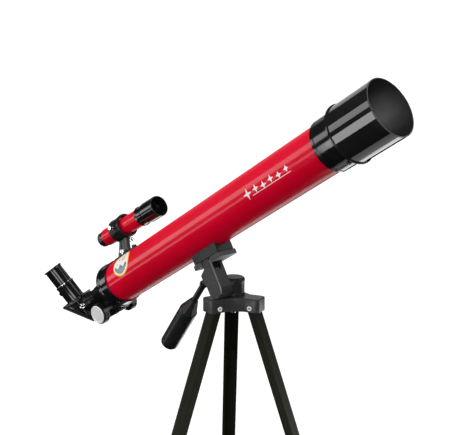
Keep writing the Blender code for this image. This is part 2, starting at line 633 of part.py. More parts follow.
def eyepiece():
    stand = DIAGONAL @ shift(SOCKET_S, 0, 0)
    shoulder = SOCKET_TOP + GAP
    barrel = tube(BARREL_R, BARREL_R - 0.0010, 0.0215, shoulder + 0.0070, 28)
    body("eyepiece_barrel", barrel, stand, PULL, (STEEL, 0.2, 1.0))
    r = 0.0132
    top = EYEPIECE_TOP
    outline = [(BARREL_R + GAP, shoulder), (r, shoulder), (r, top - 0.0022), (0.0147, top - 0.0016)]
    outline += [(0.0147, top - 0.0003), (0.0144, top), (0.0080, top), (0.0056, top - 0.0022)]
    outline += [(0.0056, top - 0.0040), (0.0093, top - 0.0044), (0.0093, shoulder + 0.0073)]
    outline += [(BARREL_R + GAP, shoulder + 0.0073)]
    body("eyepiece_body", lathe(outline, 28), stand, PULL, (BLACK, 0.2))
    bm = lens(0.0090, -0.0030, -0.0006, 0.0006, -0.0002)
    body("eye_lens", bm, stand @ shift(0, 0, top - 0.0044), PULL, (GLASS, 0.05))


def finder():
    """Ring on a stalk and curved foot, three centring screws, two stud nuts, and the small telescope."""
    ring = RING @ TO_X
    soft = 0.0012
    outline = [(RING_BORE, -RING_HALF), (RING_R - soft, -RING_HALF), (RING_R, -RING_HALF + soft)]
    outline += [(RING_R, RING_HALF - soft), (RING_R - soft, RING_HALF), (RING_BORE, RING_HALF)]
    piece = body("finder_bracket", lathe(outline, 28), ring, TILT, (BLACK, 0.35))
    flat = RING @ turn(pi / 2, "X")
    stalk = [(-0.0212, -0.0418), (0.0050, -0.0418), (0.0070, -0.0160), (-0.0118, -0.0160)]
    join(piece, prism(stalk, -0.0027, 0.0027), flat)
    low = COLLAR_BORE
    foot = [(-r, y) for r, y in arc((0, 0), low, -17, 17, 8)]
    foot += [(-r, y) for r, y in arc((0, 0), low + 0.0024, 17, -17, 8)]
    join(piece, prism(foot, -0.0216, 0.0250), RING @ shift(0, 0, -FINDER_RHO) @ TO_X)
    cut(piece, rod(RING_BORE, -0.02, 0.02, 28), ring)
    tube_wall = bpy.data.objects["main_tube"]
    nut_seat = -FINDER_RHO + low + 0.0024 + GAP
    for i, (x, y) in enumerate(((-0.0020, -0.0070), (0.0180, 0.0))):
        place = RING @ shift(x, y, 0)
        cut(piece, rod(0.0019, -0.06, -0.0360, 12), place)
        if i == 0:
            cut(piece, rod(0.0041, nut_seat - 0.0006, -0.0300, 16), place)
        cut(tube_wall, rod(0.0019, -0.0480, -0.0360, 12), place)
        thumbscrew(f"finder_nut_{i + 1}", place, -0.0450, nut_seat, 0.0036, 0.0042, TILT)
    for i, angle in enumerate((93, -27, -147)):
        place = RING @ turn(radians(angle), "X")
        cut(piece, rod(SCREW_HOLE_R, 0.010, 0.030, 12), place)
        marker = empty(f"finder_screw_axis_{i + 1}", place, TILT)
        thumbscrew(f"finder_screw_{i + 1}", place, FINDER_R + 0.0004, RING_R + GAP, 0.0034, 0.0048, marker)

    along = FINDER @ TO_X
    wall = 0.0011
    rear, front = -0.0380, 0.0585
    body("finder_tube", tube(FINDER_R, FINDER_R - wall, rear, front, 28), along, TILT, (RED, 0.15))
    r = 0.0150
    outline = [(FINDER_R + GAP, 0.0480), (r - 0.0010, 0.0480), (r - 0.0004, 0.0486), (r, 0.0640)]
    outline += [(r, 0.0886), (r - 0.0004, 0.0890), (r - 0.0010, 0.0890), (r - 0.0013, 0.0700)]
    outline += [(0.0105, 0.0690), (0.0105, 0.0620), (FINDER_R + GAP, 0.0620)]
    body("finder_hood", lathe(outline, 28), along, TILT, (BLACK, 0.25))
    bm = lens(0.0124, 0.0590, 0.0600, 0.0, 0.0008)
    body("finder_lens", bm, along, TILT, (GLASS, 0.05))
    spigot = FINDER_R - wall - GAP
    outline = [(0.0050, -0.0520), (0.0100, -0.0520), (0.0110, -0.0510), (0.0110, -0.0440), (0.0118, -0.0432)]
    outline += [(0.0118, rear - GAP), (spigot, rear - GAP), (spigot, rear + 0.0140), (0.0085, rear + 0.0140)]
    outline += [(0.0085, -0.0480), (0.0050, -0.0495)]
    marker = empty("finder_focus_axis", along, TILT)
    body("finder_eyepiece", lathe(outline, 24), along, marker, (BLACK, 0.3))


def leg(number, azimuth):
    """One leg: rivet, channel, clamp with its lever, lower section and rubber foot."""
    lobe = BASE @ turn(radians(azimuth), "Z") @ shift(PIN_RADIUS_POS, 0, LEG_PIN_Z)
    frame = lobe @ turn(-LEG_SPLAY, "Y")
    fold = empty(f"leg_fold_axis_{number}", frame)
    slide = empty(f"leg_slide_axis_{number}", frame, fold)
    head = LOBE_HALF + GAP + 0.0009
    seat = LOBE_HALF + GAP
    outline = [(0, -head), (0.0028, -head), (0.0034, -seat), (RIVET_R, -seat)]
    outline += [(RIVET_R, seat), (0.0034, seat), (0.0028, head), (0, head)]
    body(f"leg_rivet_{number}", lathe(outline, 16), lobe @ TO_Y, None, (STEEL, 0.25, 1.0))

    half = CHANNEL_WIDTH / 2
    deep = CHANNEL_DEPTH / 2
    outline = [(-deep, -CHANNEL_LEN), (deep, -CHANNEL_LEN)]
    outline += arc((0, 0), deep, 0, 180, 8)
    side_on = frame @ turn(pi / 2, "X")
    piece = body(f"leg_upper_{number}", prism(outline, -half, half), side_on, fold, (OLIVE_BLACK, 0.4))
    inner = half - CHANNEL_WALL
    cut(piece, block((-0.02, deep - CHANNEL_WALL), (-inner, inner), (-0.4, 0.02)), frame)
    cut(piece, rod(0.0028, -0.02, 0.02, 16), frame @ TO_Y)

    half = LOWER_WIDTH / 2
    deep = LOWER_DEPTH / 2
    top = LOWER_END - LOWER_LEN
    bm = block((-deep, deep), (-half, half), (-LOWER_END, -top))
    piece = body(f"leg_lower_{number}", bm, frame, slide, (OLIVE_BLACK, 0.4))
    inner = half - CHANNEL_WALL
    cut(piece, block((-0.02, deep - CHANNEL_WALL), (-inner, inner), (-0.5, 0.0)), frame)
    clamp(number, frame, fold)
    foot(number, frame, slide)


def clamp(number, frame, fold):
    """Collar round the end of the channel, ears on its outer side and the lever between them."""
    outer = (-0.0080, 0.0080)
    end = -CHANNEL_LEN
    low = end - 0.0060
    bm = block(outer, (-0.0116, 0.0116), (low, end + 0.0250))
    edges = [e for e in bm.edges if abs(e.verts[0].co.z - e.verts[1].co.z) > 0.001]
    bmesh.ops.bevel(bm, geom=edges, offset=0.0015, segments=2, affect="EDGES", profile=0.5)
    piece = body(f"leg_clamp_{number}", bm, frame, fold, (BLACK, 0.5))
    hinge_x, hinge_z, ear_r = 0.0112, end + 0.0010, 0.0031
    for side in (-1, 1):
        outline = arc((hinge_x, hinge_z), ear_r, -90, 90, 6)
        outline += [(0.0060, hinge_z + ear_r), (0.0060, hinge_z - ear_r)]
        join(piece, prism(outline, -0.0016, 0.0016), frame @ shift(0, side * 0.0092, 0) @ turn(pi / 2, "X"))
    deep = CHANNEL_DEPTH / 2 + GAP
    half = CHANNEL_WIDTH / 2 + GAP
    cut(piece, block((-deep, deep), (-half, half), (end - GAP, 0.0)), frame)
    deep = LOWER_DEPTH / 2 + GAP
    half = LOWER_WIDTH / 2 + GAP
    cut(piece, block((-deep, deep), (-half, half), (-0.5, 0.0)), frame)
    hinge = frame @ shift(hinge_x, 0, hinge_z)
    cut(piece, rod(0.0017, -0.02, 0.02, 12), hinge @ TO_Y)
    marker = empty(f"leg_lever_axis_{number}", hinge, fold)
    width = 0.0072
    outline = arc((0, 0), 0.0027, 180, 360, 8)
    outline += [(0.0027, 0.0180), (0.0040, 0.0260), (0.0022, 0.0270), (-0.0008, 0.0190), (-0.0027, 0.0150)]
    across = hinge @ turn(pi / 2, "X")
    lever = body(f"leg_lever_{number}", prism(outline, -width, width), across, marker, (BLACK, 0.45))
    join(lever, rod(0.0014, -0.0102, 0.0102, 12), hinge @ TO_Y)


def foot(number, frame, slide):
    """Rubber shoe on the lower section, cut level where it meets the ground."""
    top = -LOWER_END + FOOT_LEN
    bm = block((-0.0075, 0.0075), (-0.0100, 0.0100), (-LOWER_END - 0.0200, top))
    edges = [e for e in bm.edges if abs(e.verts[0].co.z - e.verts[1].co.z) > 0.001]
    bmesh.ops.bevel(bm, geom=edges, offset=0.0020, segments=2, affect="EDGES", profile=0.5)
    piece = body(f"foot_{number}", bm, frame, slide, (BLACK, 0.8))
    deep = LOWER_DEPTH / 2 + GAP
    half = LOWER_WIDTH / 2 + GAP
    cut(piece, block((-deep, deep), (-half, half), (-LOWER_END - GAP, 0.0)), frame)
    cut(piece, block((-1, 1), (-1, 1), (-0.5, 0.0)), Matrix.Identity(4))


crown()
head_base()
post()
tilt_arm()
platform()
handle()
optical_tube()
focuser()
diagonal()
eyepiece()
finder()
for number, azimuth in enumerate(LEG_AZIMUTHS, start=1):
    leg(number, azimuth)
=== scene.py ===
import json
from math import atan2, cos, pi, radians, sin, sqrt

import bmesh
import bpy
from mathutils import Matrix, Vector

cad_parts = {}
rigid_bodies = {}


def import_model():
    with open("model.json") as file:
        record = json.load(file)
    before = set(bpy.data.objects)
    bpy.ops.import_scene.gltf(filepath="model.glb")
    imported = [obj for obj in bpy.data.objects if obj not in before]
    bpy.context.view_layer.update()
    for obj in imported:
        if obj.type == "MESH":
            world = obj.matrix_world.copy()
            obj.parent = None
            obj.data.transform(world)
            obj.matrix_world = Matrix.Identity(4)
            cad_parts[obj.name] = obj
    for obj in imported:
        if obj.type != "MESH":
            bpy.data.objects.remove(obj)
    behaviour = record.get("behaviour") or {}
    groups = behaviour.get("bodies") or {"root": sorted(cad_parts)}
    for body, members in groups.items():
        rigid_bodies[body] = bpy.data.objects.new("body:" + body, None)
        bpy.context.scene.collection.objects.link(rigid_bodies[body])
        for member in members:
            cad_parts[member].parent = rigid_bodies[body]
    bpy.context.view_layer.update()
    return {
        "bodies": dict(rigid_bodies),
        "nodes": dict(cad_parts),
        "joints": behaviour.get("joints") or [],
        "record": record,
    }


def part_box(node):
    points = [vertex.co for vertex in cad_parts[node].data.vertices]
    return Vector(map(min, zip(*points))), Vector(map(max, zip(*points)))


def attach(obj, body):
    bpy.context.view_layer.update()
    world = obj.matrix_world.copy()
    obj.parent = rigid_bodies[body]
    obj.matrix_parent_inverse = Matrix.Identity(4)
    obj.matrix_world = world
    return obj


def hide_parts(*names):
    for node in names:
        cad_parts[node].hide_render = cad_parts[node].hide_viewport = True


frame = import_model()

# ---------------------------------------------------------------- frames
GAP = 0.0003
JOINTS = {joint["name"]: joint for joint in frame["joints"]}
DIAG_FRONT = -0.097          # face of the diagonal, along the tube from the red tube's rear end
LEG_SPLAY = radians(19.0)
LEG_AZIMUTHS = (18.0, 138.0, 258.0)
DIAG_ROLL = radians(22.0)
FOCUSER_ROLL = radians(10.0)
FINDER_S = 0.022
FINDER_RHO = 0.072
FINDER_PHI = radians(11.0)
FINDER_DIP = radians(2.5)
FINDER_YAW = radians(1.5)


def shift(x=0.0, y=0.0, z=0.0):
    return Matrix.Translation((x, y, z))


def turn(angle, axis):
    return Matrix.Rotation(angle, 4, axis)


TO_X = turn(pi / 2, "Y")     # local Z onto +X
TO_Y = turn(-pi / 2, "X")    # local Z onto +Y
TO_NEAR = turn(pi / 2, "X")  # local Z onto -Y, the photographed side
FLIP = turn(pi, "X")
HERE = Matrix.Identity(4)
OUT = Vector(JOINTS["focus_slide"]["axis"])
ALTITUDE = atan2(-OUT.z, -OUT.x)
SCOPE = Matrix.Translation(JOINTS["diagonal_turn"]["pos_m"]) @ turn(-ALTITUDE, "Y") @ shift(-DIAG_FRONT)
FOCUSER = SCOPE @ turn(FOCUSER_ROLL, "X")
DIAGONAL = SCOPE @ turn(DIAG_ROLL, "X")
RING = SCOPE @ turn(-FINDER_PHI, "X") @ shift(FINDER_S, 0.0, FINDER_RHO)
FINDER = RING @ turn(FINDER_DIP, "Y") @ turn(FINDER_YAW, "Z")
PIVOT = Vector(JOINTS["tilt"]["pos_m"])
HEAD = Matrix.Translation(PIVOT) @ turn(-ALTITUDE, "Y")
CROWN_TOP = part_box("crown")[1][2]
PAN = Vector(JOINTS["pan"]["pos_m"])
CROWN = Matrix.Translation((PAN.x, PAN.y, CROWN_TOP))


# ---------------------------------------------------------------- materials
def node_material(name):
    material = bpy.data.materials.new(name)
    material.use_nodes = True
    return material, material.node_tree, material.node_tree.nodes["Principled BSDF"]


def put(node, **values):
    for name, value in values.items():
        node.inputs[name.replace("_", " ")].default_value = value


def feed(shader, name, value):
    """Drive one input of the shader from a node's output."""
    shader.id_data.links.new(value, shader.inputs[name])


def noise(tree, scale, detail=4.0, rough=0.55, stretch=(1, 1, 1)):
    """Noise over the piece's own coordinates; scale is in features per metre."""
    nodes, links = tree.nodes, tree.links
    place = nodes.new("ShaderNodeTexCoord")
    mapping = nodes.new("ShaderNodeMapping")
    put(mapping, Scale=stretch)
    texture = nodes.new("ShaderNodeTexNoise")
    put(texture, Scale=scale, Detail=detail, Roughness=rough)
    links.new(place.outputs["Object"], mapping.inputs["Vector"])
    links.new(mapping.outputs["Vector"], texture.inputs["Vector"])
    return texture.outputs["Fac"]


def ramp(tree, value, low, high, stops=(0.35, 0.65)):
    """Map a 0-1 value onto a range of colours or greys."""
    node = tree.nodes.new("ShaderNodeValToRGB")
    node.color_ramp.elements[0].position = stops[0]
    node.color_ramp.elements[1].position = stops[1]
    node.color_ramp.elements[0].color = (*low, 1.0)
    node.color_ramp.elements[1].color = (*high, 1.0)
    tree.links.new(value, node.inputs["Fac"])
    return node.outputs["Color"]


def grey_ramp(tree, value, low, high, stops=(0.35, 0.65)):
    return ramp(tree, value, (low,) * 3, (high,) * 3, stops)


def bump(tree, shader, height, strength, distance, onto="Normal"):
    node = tree.nodes.new("ShaderNodeBump")
    put(node, Strength=strength, Distance=distance)
    tree.links.new(height, node.inputs["Height"])
    tree.links.new(node.outputs["Normal"], shader.inputs[onto])


def paler_edges_wear_and_highlight(tree, colour, wear_and_highlight_colour, amount, stops=(0.52, 0.6)):
    """Blend a paler colour in along raised edges: partly edge wear, partly a painted highlight on the bevels."""
    nodes, links = tree.nodes, tree.links
    geometry = nodes.new("ShaderNodeNewGeometry")
    edge = grey_ramp(tree, geometry.outputs["Pointiness"], 0.0, amount, stops)
    blend = nodes.new("ShaderNodeMix")
    blend.data_type = "RGBA"
    links.new(edge, blend.inputs["Factor"])
    links.new(colour, blend.inputs["A"])
    blend.inputs["B"].default_value = (*wear_and_highlight_colour, 1.0)
    return blend.outputs["Result"]


def coated_paint(name, deep, bright, coat):
    """Glossy stove enamel: colour drifts slightly, with faint orange peel in the clear coat."""
    material, tree, shader = node_material(name)
    feed(shader, "Base Color", ramp(tree, noise(tree, 14.0, 3.0), deep, bright))
    streaks = noise(tree, 260.0, 6.0, 0.6, (0.25, 1, 1))
    feed(shader, "Roughness", grey_ramp(tree, streaks, 0.3, 0.4))
    put(shader, Specular_IOR_Level=0.05)
    facing = tree.nodes.new("ShaderNodeLayerWeight")
    weight = grey_ramp(tree, facing.outputs["Facing"], coat, 0.15 * coat, (0.4, 0.75))
    feed(shader, "Coat Weight", weight)
    feed(shader, "Coat Roughness", grey_ramp(tree, noise(tree, 180.0, 5.0), 0.08, 0.1))
    peel = noise(tree, 420.0, 2.0)
    bump(tree, shader, peel, 0.1, 0.0002)
    bump(tree, shader, peel, 0.02, 0.0001, "Coat Normal")
    return material


def plastic(name, low, high, rough, grain=900.0, depth=0.0001, strength=0.12, edge=0.25, shine=0.5):
    """Moulded plastic or print: fine grain, patchy gloss, edges a little paler, partly from wear and partly as a
    painted highlight.
    """
    material, tree, shader = node_material(name)
    patches = noise(tree, 60.0, 5.0)
    colour = ramp(tree, patches, low, high)
    # paler edge colour: partly wear, partly a painted highlight along the bevels
    pale = tuple(min(1.0, 3.2 * c + 0.02) for c in high)
    feed(shader, "Base Color", paler_edges_wear_and_highlight(tree, colour, pale, edge))
    scuff = noise(tree, 320.0, 7.0, 0.65)
    feed(shader, "Roughness", grey_ramp(tree, scuff, rough[0], rough[1]))
    bump(tree, shader, noise(tree, grain, 3.0), strength, depth)
    put(shader, Specular_IOR_Level=shine)
    return material


def metal(name, dark, light, rough, stretch=(1, 1, 1), grain=1400.0, metallic=1.0):
    """Bright metal with fine turning or brushing marks."""
    material, tree, shader = node_material(name)
    put(shader, Metallic=metallic)
    feed(shader, "Base Color", ramp(tree, noise(tree, 90.0, 4.0), dark, light))
    lines = noise(tree, grain, 3.0, 0.5, stretch)
    feed(shader, "Roughness", grey_ramp(tree, lines, rough[0], rough[1]))
    bump(tree, shader, lines, 0.08, 0.0001)
    return material


def glass(name, tint):
    material, tree, shader = node_material(name)
    feed(shader, "Base Color", ramp(tree, noise(tree, 30.0), tint, tuple(0.94 * c for c in tint)))
    put(shader, Transmission_Weight=1.0, IOR=1.52, Coat_Weight=0.4, Coat_Tint=(0.55, 0.75, 0.9, 1.0))
    dust = noise(tree, 500.0, 6.0, 0.7)
    feed(shader, "Roughness", grey_ramp(tree, dust, 0.01, 0.06, (0.45, 0.75)))
    return material


def ink(name, low, high, rough=(0.25, 0.35), grain=900.0):
    return plastic(name, low, high, rough, grain, 0.00005, 0.1, 0.0)


RED = coated_paint("red_enamel", (0.635, 0.0, 0.018), (0.69, 0.0, 0.024), 0.4)
GLOSS = plastic("gloss_black", (0.006, 0.006, 0.007), (0.01, 0.01, 0.011), (0.09, 0.15), 700.0, 0.0001, 0.02, 0.15)
SHIELD = plastic("shield_black", (0.01, 0.01, 0.0105), (0.013, 0.013, 0.0135), (0.045, 0.07), 500.0, 0.0001,
        0.01, 0.12)
FLOCK = plastic("flat_black", (0.002,) * 3, (0.004,) * 3, (0.75, 0.95), 2500.0, 0.0002, 0.35, 0.0)
LINING = plastic("shield_lining", (0.01,) * 3, (0.013,) * 3, (0.42, 0.5), 900.0, 0.0001, 0.06, 0.0)
MOULDED = (0.26, 0.36)
SATIN = plastic("satin_dark_grey", (0.025, 0.026, 0.027), (0.038, 0.039, 0.04), MOULDED, 1300.0, 0.00015, 0.22,
        0.12, 0.3)
ARM = plastic("bracket_black", (0.009, 0.0095, 0.0095), (0.018, 0.0185, 0.0185), MOULDED, 1300.0, 0.00015, 0.22,
        0.1, 0.25)
# A paler copy of the bracket black for the arm's front chamfer: a painted highlight.
CHAMFER_HIGHLIGHT = plastic("painted_highlight_chamfer", (0.065, 0.065, 0.066), (0.1, 0.1, 0.101), MOULDED, 1300.0, 0.00015, 0.2)
BLOCK = plastic("saddle_grey", (0.007, 0.0075, 0.0075), (0.013, 0.0135, 0.0135), MOULDED, 1500.0, 0.00015, 0.2,
        0.12, 0.3)
CHANNEL = plastic("olive_black_anodised", (0.008, 0.008, 0.0046), (0.011, 0.011, 0.0068), (0.5, 0.62), 2200.0,
        0.0001, 0.12, 0.25, 0.05)
RUBBER = plastic("shoe_rubber", (0.012,) * 3, (0.02,) * 3, (0.7, 0.9), 1600.0, 0.0003, 0.45, 0.3)
CHROME = metal("polished_chrome", (0.8, 0.8, 0.81), (0.9,) * 3, (0.05, 0.14))
STEEL = metal("nickelled_brass", (0.62, 0.62, 0.6), (0.78, 0.77, 0.75), (0.16, 0.3))
DISC = metal("spun_disc", (0.84,) * 3, (0.9,) * 3, (0.22, 0.28), (1, 1, 0.2), 3000.0, 0.25)
# Pale grey for the platform's underside.
PALE = plastic("pale_grey_underside", (0.3, 0.3, 0.29), (0.4, 0.4, 0.39), (0.55, 0.7), 1500.0, 0.0002, 0.3, 0.0)
GREY_KNOB = plastic("grey_wheel", (0.16,) * 3, (0.24,) * 3, (0.35, 0.5), 1200.0, 0.0002, 0.2, 0.2)
LENS = glass("lens_glass", (0.9, 0.96, 1.0))
MIRROR = metal("mirror_coating", (0.93, 0.93, 0.94), (0.95,) * 3, (0.01, 0.03))
WHITE_INK = ink("white_ink", (0.8,) * 3, (0.88,) * 3, (0.3, 0.42), 1500.0)
ORANGE_INK = ink("orange_ink", (0.86, 0.27, 0.01), (0.93, 0.4, 0.02))
YELLOW_INK = ink("yellow_ink", (0.92, 0.55, 0.06), (0.95, 0.66, 0.12))
FIELD_INK = ink("pale_ink", (0.72, 0.76, 0.7), (0.84, 0.86, 0.82), grain=300.0)
BLUE_INK = ink("slate_ink", (0.1, 0.14, 0.17), (0.18, 0.24, 0.27))
USUAL_SLOT = {RED: "red_paint", GLOSS: "gloss_black", SHIELD: "gloss_black", SATIN: "satin_grey", ARM: "satin_grey",
        BLOCK: "satin_grey", CHANNEL: "leg_metal", RUBBER: "shoe_rubber", CHROME: "bright_steel",
        STEEL: "bright_steel", DISC: "bright_steel", GREY_KNOB: "bright_steel", LENS: "optical_glass",
        MIRROR: "mirror_glass"}


# ---------------------------------------------------------------- shapes
def soften(outline, radius, steps=3):
    """Round the corners of a closed (radius, height) outline, leaving points on the axis alone."""
    result = []
    count = len(outline)
    for i, point in enumerate(outline):
        here, before, after = (Vector(outline[j % count]) for j in (i, i - 1, i + 1))
        inward, outward = before - here, after - here
        straight = inward.angle(outward, 0.0) > radians(172)
        if here.x < 1e-7 or straight:
            result.append(tuple(here))
            continue
        reach = min(radius, 0.45 * inward.length, 0.45 * outward.length)
        start, stop = here + inward.normalized() * reach, here + outward.normalized() * reach
        for k in range(steps + 1):
            t = k / steps
            result.append(tuple((1 - t) ** 2 * start + 2 * t * (1 - t) * here + t * t * stop))
    return result


def lathe(outline, steps=160, soft=0.0004, flutes=None):
    """Turn a closed outline about local Z. flutes is (count, depth, low, high, least radius): grooves outside."""
    if soft:
        outline = soften(outline, soft)
    bm = bmesh.new()
    rings = []
    for radius, height in outline:
        if radius < 1e-7:
            rings.append([bm.verts.new((0.0, 0.0, height))])
            continue
        ring = []
        for i in range(steps):
            t = 2 * pi * i / steps
            r = radius
            if flutes and flutes[2] < height < flutes[3] and radius > flutes[4]:
                r -= flutes[1] * (0.5 - 0.5 * cos(flutes[0] * t))
            ring.append(bm.verts.new((r * cos(t), r * sin(t), height)))
        rings.append(ring)
    for near, far in zip(rings, rings[1:] + rings[:1]):
        if len(near) == 1 and len(far) == 1:
            continue
        for i in range(steps):
            j = (i + 1) % steps
            corners = [near[i % len(near)], near[j % len(near)], far[j % len(far)], far[i % len(far)]]
            bm.faces.new(list(dict.fromkeys(corners)))
    return bm


def rod(radius, low, high, steps=64, soft=0.0003):
    return lathe([(0, low), (radius, low), (radius, high), (0, high)], steps, soft)


def hollow(outer, inner, low, high, steps=160, soft=0.0003):
    return lathe([(inner, low), (outer, low), (outer, high), (inner, high)], steps, soft)


def prism(outline, low, high):
    bm = bmesh.new()
    base = bm.faces.new([bm.verts.new((x, y, low)) for x, y in outline])
    for item in bmesh.ops.extrude_face_region(bm, geom=[base])["geom"]:
        if isinstance(item, bmesh.types.BMVert):
            item.co.z = high
    return bm


def slab(x, y, z):
    """A box from three (low, high) pairs."""
    return prism([(x[0], y[0]), (x[1], y[0]), (x[1], y[1]), (x[0], y[1])], z[0], z[1])


def span(side, near, far):
    """The (low, high) pair from near to far on the + or - side of zero."""
    return tuple(sorted((side * near, side * far)))


def arc(centre, radius, start, stop, steps):
    turns = (radians(start + (stop - start) * i / steps) for i in range(steps + 1))
    return [(centre[0] + radius * cos(t), centre[1] + radius * sin(t)) for t in turns]


def gather(parts):
    """Put several (bmesh, frame) parts into one bmesh, untouched by one another."""
    whole = bmesh.new()
    for bm, frame in parts:
        mesh = bpy.data.meshes.new("part")
        bm.transform(frame)
        bmesh.ops.recalc_face_normals(bm, faces=bm.faces[:])
        bm.to_mesh(mesh)
        bm.free()
        whole.from_mesh(mesh)
        bpy.data.meshes.remove(mesh)
    return whole


def boolean(obj, bm, frame, operation):
    """Cut or join one tool solid, given in world places by frame."""
    tool_mesh = bpy.data.meshes.new("tool")
    bmesh.ops.recalc_face_normals(bm, faces=bm.faces[:])
    bm.to_mesh(tool_mesh)
    bm.free()
    tool = bpy.data.objects.new("tool", tool_mesh)
    bpy.context.collection.objects.link(tool)
    tool.matrix_world = frame
    modifier = obj.modifiers.new("boolean", "BOOLEAN")
    modifier.solver = "EXACT"
    modifier.operation = operation
    modifier.object = tool
    bpy.context.view_layer.update()
    graph = bpy.context.evaluated_depsgraph_get()
    result = bpy.data.meshes.new_from_object(obj.evaluated_get(graph))
    obj.modifiers.remove(modifier)
    obj.data = result
    bpy.data.objects.remove(tool)


def cut(obj, bm, frame):
    boolean(obj, bm, frame, "DIFFERENCE")


def join(obj, bm, frame):
    boolean(obj, bm, frame, "UNION")


def bevel_edges(obj, chosen, offset, segments=1):
    """Bevel only the edges that the test chosen picks out."""
    bm = bmesh.new()
    bm.from_mesh(obj.data)
    edges = [edge for edge in bm.edges if chosen(edge)]
    bmesh.ops.bevel(bm, geom=edges, offset=offset, segments=segments, affect="EDGES", profile=0.5)
    bm.to_mesh(obj.data)
    bm.free()


def solid(name, bm, frame):
    bmesh.ops.recalc_face_normals(bm, faces=bm.faces[:])
    mesh = bpy.data.meshes.new(name)
    bm.to_mesh(mesh)
    bm.free()
    obj = bpy.data.objects.new(name, mesh)
    bpy.context.collection.objects.link(obj)
    obj.matrix_world = frame
    bpy.context.view_layer.update()
    return obj


def dress(obj, body, materials, nodes=(), slot=None, bevel=0.0, segments=3, angle=30.0, pick=None):
    """Finish a piece: its materials, soft edges, the CAD nodes it stands for and the body it rides on."""
    mesh = obj.data
    mesh.materials.clear()
    materials = materials if isinstance(materials, list) else [materials]
    for material in materials:
        mesh.materials.append(material)
    if pick:
        for face in mesh.polygons:
            face.material_index = pick(face)
    mesh.shade_smooth()
    if bevel:
        soft = obj.modifiers.new("soft edges", "BEVEL")
        soft.width = bevel
        soft.segments = segments
        soft.limit_method = "ANGLE"
        soft.angle_limit = radians(angle)
        soft.use_clamp_overlap = True
        soft.harden_normals = True
    else:
        mesh.set_sharp_from_angle(angle=radians(angle))
        even = obj.modifiers.new("flat faces keep their normals", "WEIGHTED_NORMAL")
        even.weight = 100
        even.keep_sharp = True
    if nodes:
        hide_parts(*nodes)
    slot = slot or USUAL_SLOT.get(materials[0])
    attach(obj, body)
    return obj


def piece(name, bm, frame, body, materials, nodes=(), slot=None, **finish):
    return dress(solid(name, bm, frame), body, materials, nodes, slot, **finish)


def fitted(name, bm, frame, materials, nodes=(), slot=None, **finish):
    """A piece that rides on the telescope."""
    return piece(name, bm, frame, "telescope", materials, nodes, slot, **finish)


# ---------------------------------------------------------------- optical tube
TUBE_R = 0.03
TUBE_REAR, TUBE_FRONT = -0.016, 0.4445
COLLAR_BORE = TUBE_R + GAP
CELL_R, CELL_BACK, CELL_FRONT = 0.0325, 0.43, 0.4588
SHIELD_R, SHIELD_WALL, SHIELD_FRONT = 0.0354, 0.0016, 0.5209
FLANGE_R = 0.037
LENS_R = 0.0254
LENS_SEAT = 0.4475
SPIGOT_R, SPIGOT_FRONT = 0.0312, 0.47
ALONG = SCOPE @ TO_X


def inside_of(radius):
    """Material 1 for faces that look towards the local Z axis from within this radius, else 0."""
    def choose(face):
        away = Vector((face.center.x, face.center.y, 0.0))
        return int(away.length < radius and away.dot(face.normal) < 0)
    return choose


def lens_outline(radius, low, high, low_bulge, high_bulge, rows=10):
    """Edge planes low and high, each face bulging outward by its sag."""
    rear = [(radius * i / rows, low - low_bulge * (1 - (i / rows) ** 2)) for i in range(rows + 1)]
    front = [(radius * i / rows, high + high_bulge * (1 - (i / rows) ** 2)) for i in range(rows, -1, -1)]
    return rear + front


